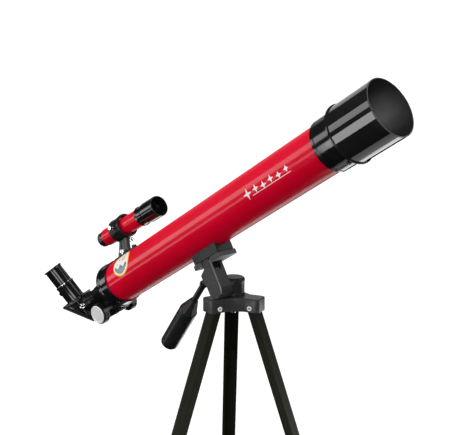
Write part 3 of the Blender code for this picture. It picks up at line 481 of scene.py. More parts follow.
def optical_tube():
    wall = 0.0012
    bm = hollow(TUBE_R, TUBE_R - wall, TUBE_REAR, TUBE_FRONT, 256, 0.0002)
    fitted("main_tube_shell", bm, ALONG, [RED, FLOCK], ["main_tube"],
          pick=inside_of(TUBE_R - wall / 2))

    baffle_s = 0.3
    bm = lathe([(0.0215, baffle_s), (TUBE_R - wall - GAP, baffle_s), (TUBE_R - wall - GAP, baffle_s + 0.004),
            (TUBE_R - wall - 0.001, baffle_s + 0.004), (TUBE_R - wall - 0.001, baffle_s + 0.0008),
            (0.0215, baffle_s + 0.0008)], 128, 0.0002)
    fitted("tube_baffle", bm, ALONG, FLOCK)

    outline = [(COLLAR_BORE, CELL_BACK), (CELL_R, CELL_BACK), (CELL_R, CELL_BACK + 0.004),
        (CELL_R - 0.0004, CELL_BACK + 0.0043), (CELL_R - 0.0004, CELL_BACK + 0.0051), (CELL_R, CELL_BACK + 0.0054),
        (CELL_R, CELL_FRONT), (SPIGOT_R, CELL_FRONT), (SPIGOT_R, SPIGOT_FRONT), (LENS_R + 0.0004, SPIGOT_FRONT),
        (LENS_R + 0.0004, LENS_SEAT), (0.0236, LENS_SEAT), (0.0236, TUBE_FRONT + GAP),
        (COLLAR_BORE, TUBE_FRONT + GAP)]
    fitted("objective_cell_ring", lathe(outline, 224), ALONG, [GLOSS, FLOCK], ["objective_cell"],
            pick=inside_of(0.029))
    for number, angle in enumerate((158.0, 38.0, -82.0), start=1):
        underside = SCOPE @ turn(radians(angle), "X") @ shift(CELL_FRONT - 0.0058)
        nodes = ["cell_screw"] if number == 1 else []
        fitted(f"cell_screw_{number}", screw_head(CELL_R - 0.0004, 0.003, 0.0024 if number == 1 else 0.001),
              underside, GLOSS, nodes, bevel=0.0002)

    sleeve = SPIGOT_R + GAP
    inner = SHIELD_R - SHIELD_WALL
    outline = [(sleeve, CELL_FRONT + GAP), (FLANGE_R, CELL_FRONT + GAP), (FLANGE_R, CELL_FRONT + 0.0022),
        (SHIELD_R, CELL_FRONT + 0.0027), (SHIELD_R, SHIELD_FRONT), (inner, SHIELD_FRONT),
        (inner, SPIGOT_FRONT - 0.003), (sleeve, SPIGOT_FRONT - 0.005)]
    fitted("dew_shield_shell", lathe(outline, 256, 0.0005), ALONG, [SHIELD, LINING], ["dew_shield"],
            pick=inside_of(inner + 0.0004))

    sag = 0.001
    flint_rear = LENS_SEAT + GAP
    crown_rear = flint_rear + 0.003 + GAP
    ring = crown_rear + 0.0022 + GAP
    bm = lathe(lens_outline(LENS_R, 0.0, 0.003, 0.0, -sag), 128, 0.0)
    fitted("flint_glass", bm, ALONG @ shift(0, 0, flint_rear), LENS, ["flint_lens"])
    bm = lathe(lens_outline(LENS_R, 0.0, 0.0022, sag * 0.98, sag), 128, 0.0)
    fitted("crown_glass", bm, ALONG @ shift(0, 0, crown_rear), LENS, ["crown_lens"])
    bm = hollow(LENS_R, LENS_R - 0.002, ring, ring + 0.005, 180)
    fitted("lens_retainer", bm, ALONG, GLOSS, ["lens_ring"])


def screw_head(seat, radius, height):
    """A small turned screw head along local Z with a round drive recess, its stem below the seat."""
    return lathe([(0, seat - 0.002), (radius * 0.5, seat - 0.002), (radius * 0.5, seat), (radius, seat),
            (radius, seat + height * 0.6), (radius * 0.72, seat + height), (radius * 0.3, seat + height),
            (radius * 0.22, seat + height * 0.45), (0, seat + height * 0.45)], 48, 0.0003)


optical_tube()


# ---------------------------------------------------------------- screws and knobs
def knurled(tip, seat, head_r, head_len, stem_r=0.0015, count=28, depth=0.00035):
    """A thumbscrew along local Z: stem, narrow collar, knurled head with a turned, dished end."""
    low = seat + 0.001
    high = low + head_len
    stem = lathe([(0, tip), (stem_r, tip), (stem_r, seat), (stem_r + 0.0008, seat), (stem_r + 0.0008, low + 0.001),
            (0, low + 0.001)], 48, 0.0002)
    sides = [(head_r, low + (high - low) * k / 12) for k in range(13)]
    outline = [(0, low), (head_r - 0.0004, low)] + [(r, z) for r, z in sides[1:-1]]
    outline += [(head_r - 0.0005, high), (head_r - 0.0014, high), (head_r - 0.0018, high - 0.0005),
        (0, high - 0.0005)]
    head = lathe(outline, count * 6, 0.00015, (count, depth, low + 0.0004, high - 0.0004, head_r - 0.0003))
    return gather([(stem, HERE), (head, HERE)])


# ---------------------------------------------------------------- focuser
FOCUS_S, FOCUS_DROP = -0.048, 0.025
COLLAR_R, COLLAR_BACK = 0.032, -0.022
NECK_R, NECK_BACK = 0.0152, -0.064
DRAW_R, DRAW_END = 0.0132, -0.0955
PITCH_R = 0.007
KNOB_R, KNOB_FACE, KNOB_LEN = 0.015, 0.033, 0.014
BARREL_R = 0.01225


def focuser():
    along = FOCUSER @ TO_X
    back_r = COLLAR_R + 0.0012
    outline = [(COLLAR_BORE, 0.0), (COLLAR_R, 0.0), (COLLAR_R, -0.015), (back_r, -0.0166), (back_r, COLLAR_BACK),
        (NECK_R + 0.006, COLLAR_BACK), (NECK_R + 0.005, COLLAR_BACK - 0.0012), (NECK_R, COLLAR_BACK - 0.003),
        (NECK_R, NECK_BACK + 0.0044), (NECK_R - 0.0006, NECK_BACK + 0.004), (NECK_R - 0.0006, NECK_BACK),
        (DRAW_R + GAP, NECK_BACK), (DRAW_R + GAP, TUBE_REAR - GAP), (COLLAR_BORE, TUBE_REAR - GAP)]
    housing = solid("focuser_casting", lathe(outline, 192, 0.001), along)
    low = -FOCUS_DROP - PITCH_R - 0.003
    join(housing, slab((NECK_BACK + 0.0008, -0.029), (-0.0098, 0.0098), (low, -0.012)), FOCUSER)
    shaft = FOCUSER @ shift(FOCUS_S, 0, -FOCUS_DROP) @ TO_Y
    cut(housing, rod(PITCH_R + 0.0004, -0.0056, 0.0056, 48), shaft)
    cut(housing, rod(0.0028, -0.02, 0.02, 40), shaft)
    dress(housing, "telescope", [GLOSS, FLOCK], ["focuser_housing"], bevel=0.0004, angle=40)
    for number, angle in enumerate((-62.0, 58.0, 178.0), start=1):
        place = SCOPE @ turn(radians(angle), "X") @ TO_NEAR @ shift(-0.008, 0, 0)
        fitted(f"collar_screw_{number}", screw_head(COLLAR_R - 0.0003, 0.0022, 0.0011), place, GLOSS, bevel=0.0002)
    for number, (s, y) in enumerate(((-0.035, -0.0062), (-0.035, 0.0062), (-0.059, -0.0062), (-0.059, 0.0062))):
        place = FOCUSER @ shift(s, y, low) @ FLIP
        fitted(f"pinion_cover_screw_{number + 1}", screw_head(-0.0002, 0.0016, 0.0009), place, STEEL)

    inner = DRAW_R - 0.0012
    outline = [(inner, 0.02), (DRAW_R, 0.02), (DRAW_R, -0.086), (0.0148, -0.0864), (0.0148, -0.0894),
        (0.0145, -0.0896), (0.0145, -0.0902), (0.0148, -0.0904), (0.0148, DRAW_END), (inner, DRAW_END)]
    bar = slab((-0.082, 0.018), (-0.0027, 0.0027), (-FOCUS_DROP + PITCH_R + 0.0009, -0.0125))
    parts = [(lathe(outline[::-1], 160), TO_X), (bar, HERE)]
    pitch = 2 * pi * PITCH_R / 12
    for k in range(27):
        s = -0.081 + k * pitch
        tooth = prism([(s - 0.0011, 0.0), (s + 0.0011, 0.0), (s + 0.0006, -0.0011), (s - 0.0006, -0.0011)],
                -0.0027, 0.0027)
        parts.append((tooth, shift(0, 0, -FOCUS_DROP + PITCH_R + 0.0011) @ TO_NEAR))
    obj = solid("drawtube_with_rack", gather(parts), FOCUSER)
    dress(obj, "drawtube", [GLOSS, FLOCK], ["drawtube"])
    near = FOCUSER @ shift(DRAW_END + 0.005) @ TO_NEAR
    bm = knurled(BARREL_R + 0.0001, 0.015, 0.0036, 0.006)
    piece("drawtube_clamp_screw", bm, near, "drawtube_thumbscrew", CHROME, ["drawtube_thumbscrew"])

    parts = [(rod(0.0025, -0.031, 0.031, 64), HERE)]
    teeth = 12
    outline = []
    for i in range(teeth):
        for part, radius in ((0.05, 0.0052), (0.32, 0.0052), (0.5, 0.0064), (0.58, 0.0067), (0.8, 0.0067),
                             (0.88, 0.0064)):
            angle = (i + part) * 2 * pi / teeth
            outline.append((radius * cos(angle), radius * sin(angle)))
    parts.append((prism(outline, -0.005, 0.005), HERE))
    piece("pinion_and_shaft", gather(parts), shaft, "focus_shaft", STEEL, ["pinion_shaft"])
    for name, node, face in (("focus_wheel_near", "focus_knob_near", shaft @ FLIP),
                             ("focus_wheel_far", "focus_knob_far", shaft)):
        piece(name, focus_wheel(), face, "focus_shaft", GLOSS, [node])
    rim = KNOB_FACE + GAP
    disc = [(0, rim), (0.0132, rim), (0.0132, rim + 0.0008), (0.0126, rim + 0.0011), (0.0112, rim + 0.0011),
            (0.0109, rim + 0.0008), (0, rim + 0.0008)]
    near_face = shaft @ FLIP
    piece("focus_wheel_disc", lathe(disc, 192, 0.0002), near_face, "focus_shaft", DISC, ["knob_cap"])


def focus_wheel():
    """A focus knob: hub, undercut and a ribbed rim, faced with a shallow step."""
    low = KNOB_FACE - KNOB_LEN
    count = 44
    side = [(KNOB_R, low + 0.004 + (KNOB_LEN - 0.0052) * k / 10) for k in range(11)]
    outline = [(0.0028, low), (0.0075, low), (0.0082, low + 0.0018), (0.0128, low + 0.0024)] + side
    outline += [(KNOB_R - 0.0008, KNOB_FACE), (0.0138, KNOB_FACE), (0.0136, KNOB_FACE - 0.0002),
        (0, KNOB_FACE - 0.0002), (0, 0.0313), (0.0028, 0.0313)]
    return lathe(outline, count * 6, 0.0002, (count, 0.0007, low + 0.0035, KNOB_FACE - 0.0008, KNOB_R - 0.0005))


focuser()


# ---------------------------------------------------------------- star diagonal and eyepiece
DIAG_TOP, DIAG_LEG, DIAG_WIDTH = 0.016, 0.0425, 0.031
SOCKET_S, SOCKET_R, SOCKET_TOP = -0.1178, 0.014, 0.045
NOSE_R, NOSE_BORE = 0.01185, 0.0105
EYEPIECE_TOP = 0.0746
COVER = 0.0022


def diagonal():
    back = DIAG_FRONT - DIAG_LEG
    bottom = DIAG_TOP - DIAG_LEG
    half = DIAG_WIDTH / 2
    flat = DIAGONAL @ TO_NEAR
    along = DIAGONAL @ TO_X
    stand = DIAGONAL @ shift(SOCKET_S)
    outline = [(DIAG_FRONT, DIAG_TOP), (back + 2 * COVER, DIAG_TOP), (DIAG_FRONT, bottom + 2 * COVER)]
    housing = solid("diagonal_prism_housing", prism(outline, -half, half), flat)
    panel = [(DIAG_FRONT - 0.003, DIAG_TOP - 0.003), (back + 0.014, DIAG_TOP - 0.003),
            (DIAG_FRONT - 0.003, bottom + 0.014)]
    for side in (-1, 1):
        cut(housing, prism(panel, *span(side, half - 0.0005, half + 0.001)), flat)
    lip = [(0, DIAG_TOP - 0.002), (SOCKET_R + 0.0008, DIAG_TOP - 0.002), (SOCKET_R + 0.0008, DIAG_TOP + 0.001),
        (SOCKET_R, DIAG_TOP + 0.0016), (SOCKET_R, SOCKET_TOP - 0.003), (SOCKET_R + 0.0007, SOCKET_TOP - 0.0025),
        (SOCKET_R + 0.0007, SOCKET_TOP), (0, SOCKET_TOP)]
    join(housing, lathe(lip, 144, 0.0003), stand)
    cut(housing, rod(NOSE_BORE, -0.118, DIAG_FRONT + 0.01, 96), along)
    cut(housing, rod(0.011, -0.001, 0.0205, 96), stand)
    cut(housing, rod(BARREL_R + GAP, 0.02, 0.06, 144), stand)
    middle = Vector(((DIAG_FRONT + back) / 2 + COVER, 0, (DIAG_TOP + bottom) / 2 + COVER))
    face = DIAGONAL @ Matrix.Translation(middle) @ turn(-pi / 4 * 3, "Y")
    cut(housing, slab((-0.0172, 0.0172), (-0.0127, 0.0127), (-0.0034, 0.01)), face)
    rear = stand @ shift(0, 0, 0.0345) @ turn(-pi / 2, "Y")
    join(housing, lathe([(0, 0.013), (0.004, 0.013), (0.004, SOCKET_R + 0.0026), (0.0036, SOCKET_R + 0.003),
            (0, SOCKET_R + 0.003)], 48, 0.0002), rear)
    cut(housing, rod(0.0018, BARREL_R - 0.001, 0.03, 32), rear)
    dress(housing, "diagonal", GLOSS, ["diagonal_housing"], bevel=0.0006, angle=38)

    bm = slab((-0.0168, 0.0168), (-0.0123, 0.0123), (-0.0031, -GAP))
    piece("diagonal_mirror_glass", bm, face, "diagonal", MIRROR, ["diagonal_mirror"], bevel=0.0002)
    reach = DIAG_LEG / sqrt(2) - 0.0003
    thick = COVER * sqrt(2) - GAP - 0.0002
    cover = slab((-reach, reach), (-half, half), (0.0, thick))
    piece("diagonal_back_cover", cover, face @ shift(0, 0, GAP), "diagonal", GLOSS, ["diagonal_back"],
          bevel=0.0009, segments=4)
    for number, (x, y) in enumerate(((-1, -1), (-1, 1), (1, -1), (1, 1)), start=1):
        place = face @ shift(x * (reach - 0.0055), y * (half - 0.0035), GAP + thick)
        piece(f"diagonal_cover_screw_{number}", screw_head(-0.0001, 0.0017, 0.0007), place, "diagonal", STEEL)
    nose = [(NOSE_BORE, DIAG_FRONT - 0.006), (0.0114, DIAG_FRONT - 0.006), (0.0114, DIAG_FRONT + GAP),
        (NOSE_R, DIAG_FRONT + GAP), (NOSE_R, DIAG_FRONT + 0.013), (NOSE_BORE, DIAG_FRONT + 0.013)]
    piece("diagonal_nosepiece", lathe(nose, 128), along, "diagonal", CHROME, ["diagonal_nose"])
    bm = knurled(BARREL_R + 0.0002, SOCKET_R + 0.0032, 0.0032, 0.0055)
    piece("eyepiece_clamp_screw", bm, rear, "eyepiece_thumbscrew", CHROME, ["eyepiece_thumbscrew"])


def eyepiece():
    stand = DIAGONAL @ shift(SOCKET_S)
    shoulder = SOCKET_TOP + GAP
    bm = hollow(BARREL_R, BARREL_R - 0.001, 0.0215, shoulder + 0.007, 144)
    piece("eyepiece_chrome_barrel", bm, stand, "eyepiece", CHROME, ["eyepiece_barrel"])
    r, top = 0.0132, EYEPIECE_TOP
    outline = [(BARREL_R + GAP, shoulder + 0.0009), (r - 0.0003, shoulder + 0.0009), (r, shoulder + 0.0014),
        (r, top - 0.0026), (0.0147, top - 0.0018), (0.0147, top - 0.0003), (0.0144, top), (0.0088, top),
        (0.0056, top - 0.0022), (0.0056, top - 0.004), (0.0093, top - 0.0044), (0.0093, shoulder + 0.0073),
        (BARREL_R + GAP, shoulder + 0.0073)]
    piece("eyepiece_shell", lathe(outline, 192, 0.0005), stand, "eyepiece", GLOSS, ["eyepiece_body"])
    bm = hollow(r + 0.0002, BARREL_R + GAP, shoulder, shoulder + 0.0008)
    piece("eyepiece_trim_ring", bm, stand, "eyepiece", STEEL)
    bm = lathe(lens_outline(0.009, -0.003, -0.0006, 0.0006, -0.0002), 96, 0.0)
    piece("eyepiece_glass", bm, stand @ shift(0, 0, top - 0.0044), "eyepiece", LENS, ["eye_lens"])


diagonal()
eyepiece()


# ---------------------------------------------------------------- finder
FINDER_R, FINDER_WALL = 0.0126, 0.0011
RING_BORE, RING_R, RING_HALF = 0.0147, 0.0175, 0.0125
FINDER_REAR, FINDER_FRONT = -0.038, 0.0585
FOOT_THICK = 0.0024


def finder_bracket():
    ring = RING @ TO_X
    outline = [(RING_BORE, -RING_HALF), (RING_R - 0.0006, -RING_HALF), (RING_R, -RING_HALF + 0.0006),
        (RING_R, -RING_HALF + 0.004), (RING_R - 0.0006, -RING_HALF + 0.0046), (RING_R - 0.0006, RING_HALF - 0.0046),
        (RING_R, RING_HALF - 0.004), (RING_R, RING_HALF - 0.0006), (RING_R - 0.0006, RING_HALF),
        (RING_BORE, RING_HALF)]
    obj = solid("finder_ring_and_stalk", lathe(outline, 192, 0.0003), ring)
    flat = RING @ TO_NEAR
    rear_edge = [(-0.0212 + 0.0094 * t * t * (3 - 2 * t), -0.0418 + 0.0258 * t) for t in (k / 8 for k in range(9))]
    front_edge = [(0.007 - 0.002 * t, -0.016 - 0.0258 * t) for t in (k / 4 for k in range(5))]
    join(obj, prism(rear_edge + front_edge, -0.0027, 0.0027), flat)
    rib = [(-0.014, -0.041), (-0.01, -0.041), (-0.007, -0.017), (-0.0096, -0.017)]
    for side in (-1, 1):
        join(obj, prism(rib, *span(side, 0.0026, 0.0034)), flat)
    foot = [(-r, y) for r, y in arc((0, 0), COLLAR_BORE, -17, 17, 24)]
    foot += [(-r, y) for r, y in arc((0, 0), COLLAR_BORE + FOOT_THICK, 17, -17, 24)]
    join(obj, prism(foot, -0.0216, 0.025), RING @ shift(0, 0, -FINDER_RHO) @ TO_X)
    cut(obj, rod(RING_BORE, -0.02, 0.02, 192), ring)
    seat = -FINDER_RHO + COLLAR_BORE + FOOT_THICK + GAP
    studs = ((-0.002, -0.007), (0.018, 0.0))
    for number, (x, y) in enumerate(studs, start=1):
        place = RING @ shift(x, y, 0)
        if number == 1:
            cut(obj, rod(0.0041, seat - 0.0006, -0.03, 64), place)
        cut(obj, rod(0.0019, -0.06, -0.036, 32), place)
        bm = knurled(-0.044, seat, 0.0036, 0.0042, 0.0016, 20, 0.0004)
        # The second stud nut is the same chrome nut as the first, drawn in gloss black: a painted dark reflection.
        look = CHROME if number == 1 else GLOSS
        fitted(f"finder_stud_nut_{number}", bm, place, look, [f"finder_nut_{number}"], "bright_steel")
    for number, angle in enumerate((93, -27, -147), start=1):
        place = RING @ turn(radians(angle), "X")
        cut(obj, rod(0.0018, 0.01, 0.03, 32), place)
        bm = knurled(FINDER_R + 0.0004, RING_R + GAP, 0.0034, 0.0048, 0.0015, 22, 0.00035)
        piece(f"finder_centring_screw_{number}", bm, place, f"finder_screw_{number}", CHROME,
                [f"finder_screw_{number}"])
    dress(obj, "telescope", BLOCK, ["finder_bracket"], "gloss_black", bevel=0.0005, angle=40)


def finder():
    along = FINDER @ TO_X
    bm = hollow(FINDER_R, FINDER_R - FINDER_WALL, FINDER_REAR, FINDER_FRONT, 192, 0.0002)
    fitted("finder_red_tube", bm, along, [RED, FLOCK], ["finder_tube"],
          pick=inside_of(FINDER_R - FINDER_WALL / 2))
    r = 0.015
    outline = [(FINDER_R + GAP, 0.048), (r - 0.0008, 0.048), (r - 0.0002, 0.0486), (r - 0.0012, 0.051),
        (r - 0.0012, 0.06), (r - 0.0002, 0.0622), (r, 0.064), (r, 0.0866), (r - 0.0003, 0.089), (r - 0.0012, 0.089),
        (r - 0.0013, 0.073), (0.0118, 0.0722), (0.0115, 0.069), (0.0105, 0.069), (0.0105, 0.062),
        (FINDER_R + GAP, 0.062)]
    fitted("finder_dew_hood", lathe(outline, 192, 0.0003), along, [GLOSS, FLOCK], ["finder_hood"],
            pick=inside_of(0.0117))
    bm = lathe(lens_outline(0.0124, 0.059, 0.06, 0.0, 0.0008), 96, 0.0)
    fitted("finder_objective_glass", bm, along, LENS, ["finder_lens"])
    spigot = FINDER_R - FINDER_WALL - GAP
    outline = [(0.005, -0.052), (0.0092, -0.052), (0.0102, -0.0514), (0.011, -0.05)]
    outline += [(0.011, -0.05 + 0.0066 * k / 12) for k in range(1, 12)]
    outline += [(0.011, -0.0434), (0.0118, -0.0426), (0.0118, FINDER_REAR - GAP), (spigot, FINDER_REAR - GAP),
        (spigot, FINDER_REAR + 0.014), (0.0085, FINDER_REAR + 0.014), (0.0085, -0.048), (0.005, -0.0495)]
    bm = lathe(outline, 216, 0.0003, (36, 0.0003, -0.05, -0.0436, 0.0105))
    piece("finder_ocular", bm, along, "finder_eyepiece", GLOSS, ["finder_eyepiece"])
    bm = lathe(lens_outline(0.0084, -0.0478, -0.047, 0.0006, 0.0), 64, 0.0)
    piece("finder_ocular_glass", bm, along, "finder_eyepiece", LENS)


finder_bracket()
finder()


# ---------------------------------------------------------------- saddle, platform and tilt arm
BLOCK_BACK, BLOCK_FRONT, BLOCK_WIDTH = 0.166, 0.216, 0.029
BLOCK_DROP, PLATE_TOP, PLATE_BOTTOM, PLATE_MARGIN = 0.0393, 0.0399, 0.0467, 0.0012
ARM_Y, ARM_HALF, HUB_R = -0.0056, 0.0097, 0.0122
PIVOT_DROP = 0.0804
WHEEL_X, WHEEL_LOW, WHEEL_HIGH, WHEEL_R = -0.0002, 0.0184, 0.0256, 0.0095
HANDLE_ROD_R, HANDLE_CONE, HANDLE_GRIP, HANDLE_END, GRIP_R = 0.0042, 0.04, 0.0585, 0.13, 0.0124
PIN_BORE_R, WHEEL_BORE_R = 0.0043, 0.0036
HANDLE_START = Matrix.Translation(JOINTS["handle_twist"]["pos_m"])
HANDLE_AXIS = Vector(JOINTS["handle_twist"]["axis"])


def handle_frame():
    """Origin where the handle meets the arm, z out along the handle, y across the tube."""
    down = HANDLE_AXIS if HANDLE_AXIS.x < 0 else -HANDLE_AXIS
    across = Vector((0, 1, 0))
    side = across.cross(down)
    columns = Matrix((side, across, down)).transposed().to_4x4()
    return HANDLE_START @ columns


HANDLE = handle_frame()


def saddle_and_platform():
    corner = 0.0016
    half = BLOCK_WIDTH / 2
    outline = []
    corners = ((BLOCK_FRONT, half), (BLOCK_BACK, half), (BLOCK_BACK, -half), (BLOCK_FRONT, -half))
    for start, (x, y) in zip((0, 90, 180, 270), corners):
        centre = (x - corner if x == BLOCK_FRONT else x + corner, y - corner if y > 0 else y + corner)
        outline += arc(centre, corner, start, start + 90, 5)
    obj = solid("tube_saddle", prism(outline, -BLOCK_DROP, -0.023), SCOPE)
    cut(obj, rod(COLLAR_BORE, 0.1, 0.3, 256), SCOPE @ TO_X)
    cut(obj, rod(0.0034, 0.0, 0.047, 48), HEAD @ shift(WHEEL_X))
    dress(obj, "telescope", BLOCK, ["saddle_block"], bevel=0.0005, angle=40)

    half += PLATE_MARGIN
    back, front = BLOCK_BACK - PLATE_MARGIN, BLOCK_FRONT + PLATE_MARGIN
    obj = solid("camera_platform", slab((back, front), (-half, half), (-PLATE_BOTTOM, -PLATE_TOP)), SCOPE)
    rim = GAP + 0.0001
    notch = slab((-0.004 - rim, HUB_R + rim), (-0.05, ARM_Y + ARM_HALF + rim), (0.02, 0.06))
    cut(obj, notch, HEAD)
    cut(obj, rod(WHEEL_BORE_R, 0.0, 0.06, 48), HEAD @ shift(WHEEL_X))
    # The platform's downward faces take the pale grey.
    dress(obj, "telescope", [SATIN, PALE], ["platform_plate"], bevel=0.0007, angle=40,
          pick=lambda face: int((SCOPE.inverted().to_3x3() @ (obj.matrix_world.to_3x3() @ face.normal)).z < -0.9))

    outline = [(0, WHEEL_LOW), (0.0058, WHEEL_LOW), (0.0066, WHEEL_LOW + 0.0004), (WHEEL_R, WHEEL_LOW + 0.0004)]
    outline += [(WHEEL_R, WHEEL_LOW + 0.001 + 0.0052 * k / 8) for k in range(9)]
    outline += [(WHEEL_R, WHEEL_HIGH), (0.0031, WHEEL_HIGH), (0.0031, 0.04)]
    for k in range(6):
        z = 0.0402 + k * 0.0009
        outline += [(0.0031, z), (0.0026, z + 0.00045)]
    outline += [(0.0031, 0.0457), (0.0028, 0.046), (0, 0.046)]
    bm = lathe(outline, 240, 0.0002, (40, 0.0006, WHEEL_LOW + 0.0008, WHEEL_HIGH - 0.0004, WHEEL_R - 0.001))
    piece("platform_screw_wheel", bm, HEAD @ shift(WHEEL_X), "platform_screw", GREY_KNOB, ["platform_screw"])


def tilt_arm():
    top = PIVOT_DROP - BLOCK_DROP - GAP
    outline = arc((0, 0), HUB_R, 180, 360, 40)
    outline += [(HUB_R, top - 0.003), (HUB_R - 0.003, top), (-0.0015, top), (-0.004, top - 0.0025), (-0.004, 0.031),
        (-0.0148, 0.025), (-0.0148, 0.0125), (-HUB_R, 0.0085)]
    flat = HEAD @ shift(0, ARM_Y, 0) @ TO_NEAR
    obj = solid("tilt_bracket", prism(outline, -ARM_HALF, ARM_HALF), flat)
    # broad bevel round the face that looks away from the post
    bevel_edges(obj, lambda edge: all(v.co.z > ARM_HALF - 1e-6 for v in edge.verts), 0.0011)
    from_far = HEAD @ shift(0, ARM_Y, 0) @ TO_Y @ FLIP
    cut(obj, rod(PIN_BORE_R, -ARM_HALF - 0.01, ARM_HALF - 0.0046, 48), from_far)
    recess = HEAD @ shift(HUB_R, ARM_Y - 0.0008, 0.029) @ TO_X
    cut(obj, lathe([(0, -0.007), (0.0064, -0.007), (0.0068, 0.01), (0, 0.01)], 64, 0), recess)
    # A flat black cup lines the recess: painted shade inside the recess of the satin grey bracket.
    recess_shade_cup = lathe([(0, -0.0069), (0.0063, -0.0069), (0.0065, -0.0006), (0.0061, -0.0006), (0.0059, -0.0063),
            (0, -0.0063)], 96)
    fitted("tilt_bracket_recess_shade", recess_shade_cup, recess, FLOCK, slot="satin_grey")
    wheel = HEAD @ shift(WHEEL_X)
    bm = rod(WHEEL_R + 0.0006, WHEEL_LOW - 0.0004, WHEEL_HIGH + 0.0004, 96, 0)
    cut(obj, bm, wheel)
    cut(obj, rod(WHEEL_BORE_R, WHEEL_LOW, 0.05, 48), wheel)
    cut(obj, rod(HANDLE_ROD_R + GAP, -0.004, 0.01, 64), HANDLE)
    # The front chamfer faces take the paler copy of the bracket black: a painted highlight along the chamfer.
    dress(obj, "telescope", [ARM, CHAMFER_HIGHLIGHT], ["tilt_arm"], bevel=0.0005, angle=38,
          pick=lambda face: int(0.3 < face.normal.z < 0.9 and face.normal.x > 0.5))


def handle():
    bm = rod(HANDLE_ROD_R, -0.0037, HANDLE_CONE + 0.01, 96, 0.0005)
    piece("pan_handle_rod", bm, HANDLE, "handle", BLOCK, ["handle_rod"])
    nut = hollow(0.0056, HANDLE_ROD_R + 0.0001, 0.0085, 0.0112, 96)
    piece("pan_handle_collar", nut, HANDLE, "handle", BLOCK)
    steps, sides = 192, 8
    bm = bmesh.new()
    rings = []
    for radius, height, facet in handle_profile():
        ring = []
        for i in range(steps):
            t = 2 * pi * i / steps
            flat = cos(pi / sides) / cos((t + pi / sides) % (2 * pi / sides) - pi / sides)
            reach = radius * (1 + facet * (flat - 1))
            ring.append(bm.verts.new((reach * cos(t), reach * sin(t), height)))
        rings.append(ring)
    for near, far in zip(rings, rings[1:]):
        for i in range(steps):
            j = (i + 1) % steps
            bm.faces.new((near[i], near[j], far[j], far[i]))
    bm.faces.new(rings[0])
    bm.faces.new(rings[-1])
    piece("pan_handle_grip", bm, HANDLE, "handle", BLOCK, ["handle_grip"], angle=28)


def handle_profile():
    """(radius, height, share of an octagonal section) down the grip: faceted cone, round body, domed end."""
    inner = HANDLE_ROD_R + GAP
    rows = [(inner, HANDLE_CONE, 0.0), (inner + 0.0009, HANDLE_CONE, 0.0)]
    for k in range(11):
        t = k / 10
        radius = inner + 0.0012 + (GRIP_R - inner - 0.0014) * t
        rows.append((radius, HANDLE_CONE + 0.0004 + (HANDLE_GRIP - HANDLE_CONE - 0.0004) * t, 1.0))
    rows.append((GRIP_R - 0.0001, HANDLE_GRIP + 0.0004, 0.6))
    rows.append((GRIP_R, HANDLE_GRIP + 0.0014, 0.0))
    rows.append((GRIP_R, HANDLE_GRIP + 0.006, 0.0))
    rows += [(GRIP_R, HANDLE_GRIP + 0.006 + 0.06 * k / 12, 0.0) for k in range(1, 12)]
    dome = 0.0056
    rows += [(r, z, 0.0) for r, z in arc((GRIP_R - dome, HANDLE_END - dome), dome, 0, 86, 14)]
    return rows


saddle_and_platform()
tilt_arm()
handle()


# ---------------------------------------------------------------- post, crown and legs
POST_R, POST_HEIGHT = 0.015, 0.024
BOLT_BORE_R, RIVET_BORE_R = 0.0034, 0.0028
CROWN_THICK, LOBE_END, LOBE_HALF = 0.018, 0.041, 0.0118
PIN_OUT, PIN_DROP = 0.0285, 0.0128
CHANNEL_WIDTH, CHANNEL_DEPTH, CHANNEL_WALL, CHANNEL_LEN = 0.0186, 0.011, 0.0012, 0.33
LOWER_WIDTH, LOWER_DEPTH, LOWER_LEN, LOWER_END = 0.0148, 0.008, 0.29, 0.378


def post():
    outline = [(0, GAP), (POST_R, GAP), (POST_R, 0.0028), (POST_R - 0.0005, 0.0032),
        (POST_R - 0.0005, POST_HEIGHT - 0.006), (POST_R, POST_HEIGHT - 0.0056), (POST_R, POST_HEIGHT - 0.0026),
        (POST_R - 0.0022, POST_HEIGHT), (0, POST_HEIGHT + 0.0006)]
    obj = solid("pan_post_and_hub", lathe(outline, 144, 0.001), CROWN)
    arm_far = PIVOT.y - PAN.y + ARM_Y + ARM_HALF
    hub = Matrix.Translation((PIVOT.x, PAN.y, PIVOT.z)) @ TO_Y
    join(obj, rod(0.0108, arm_far + GAP, 0.0, 96, 0.0004), hub)
    cut(obj, slab((-0.03, 0.03), (-0.05, arm_far + GAP), (-0.01, 0.04)), CROWN)
    cut(obj, rod(BOLT_BORE_R, -0.01, 0.0145, 48), CROWN)
    cut(obj, rod(PIN_BORE_R, arm_far - 0.01, -0.006, 48), hub)
    dress(obj, "pan_head", ARM, ["pan_post"], bevel=0.0004, angle=40)
    low = -CROWN_THICK - GAP
    nut = [(0.0062 * cos(pi / 3 * k), 0.0062 * sin(pi / 3 * k)) for k in range(6)]
    parts = [(rod(0.0031, low - 0.006, 0.014, 64), HERE),
            (prism(nut, low - 0.004, low), HERE)]
    piece("pan_bolt_and_nut", gather(parts), CROWN, "pan_head", STEEL, ["pan_bolt"], bevel=0.0003)
    pin = rod(0.004, arm_far - 0.012, -0.0064, 64, 0.0005)
    piece("tilt_pin_turned", pin, hub, "pan_head", STEEL, ["tilt_pin"])


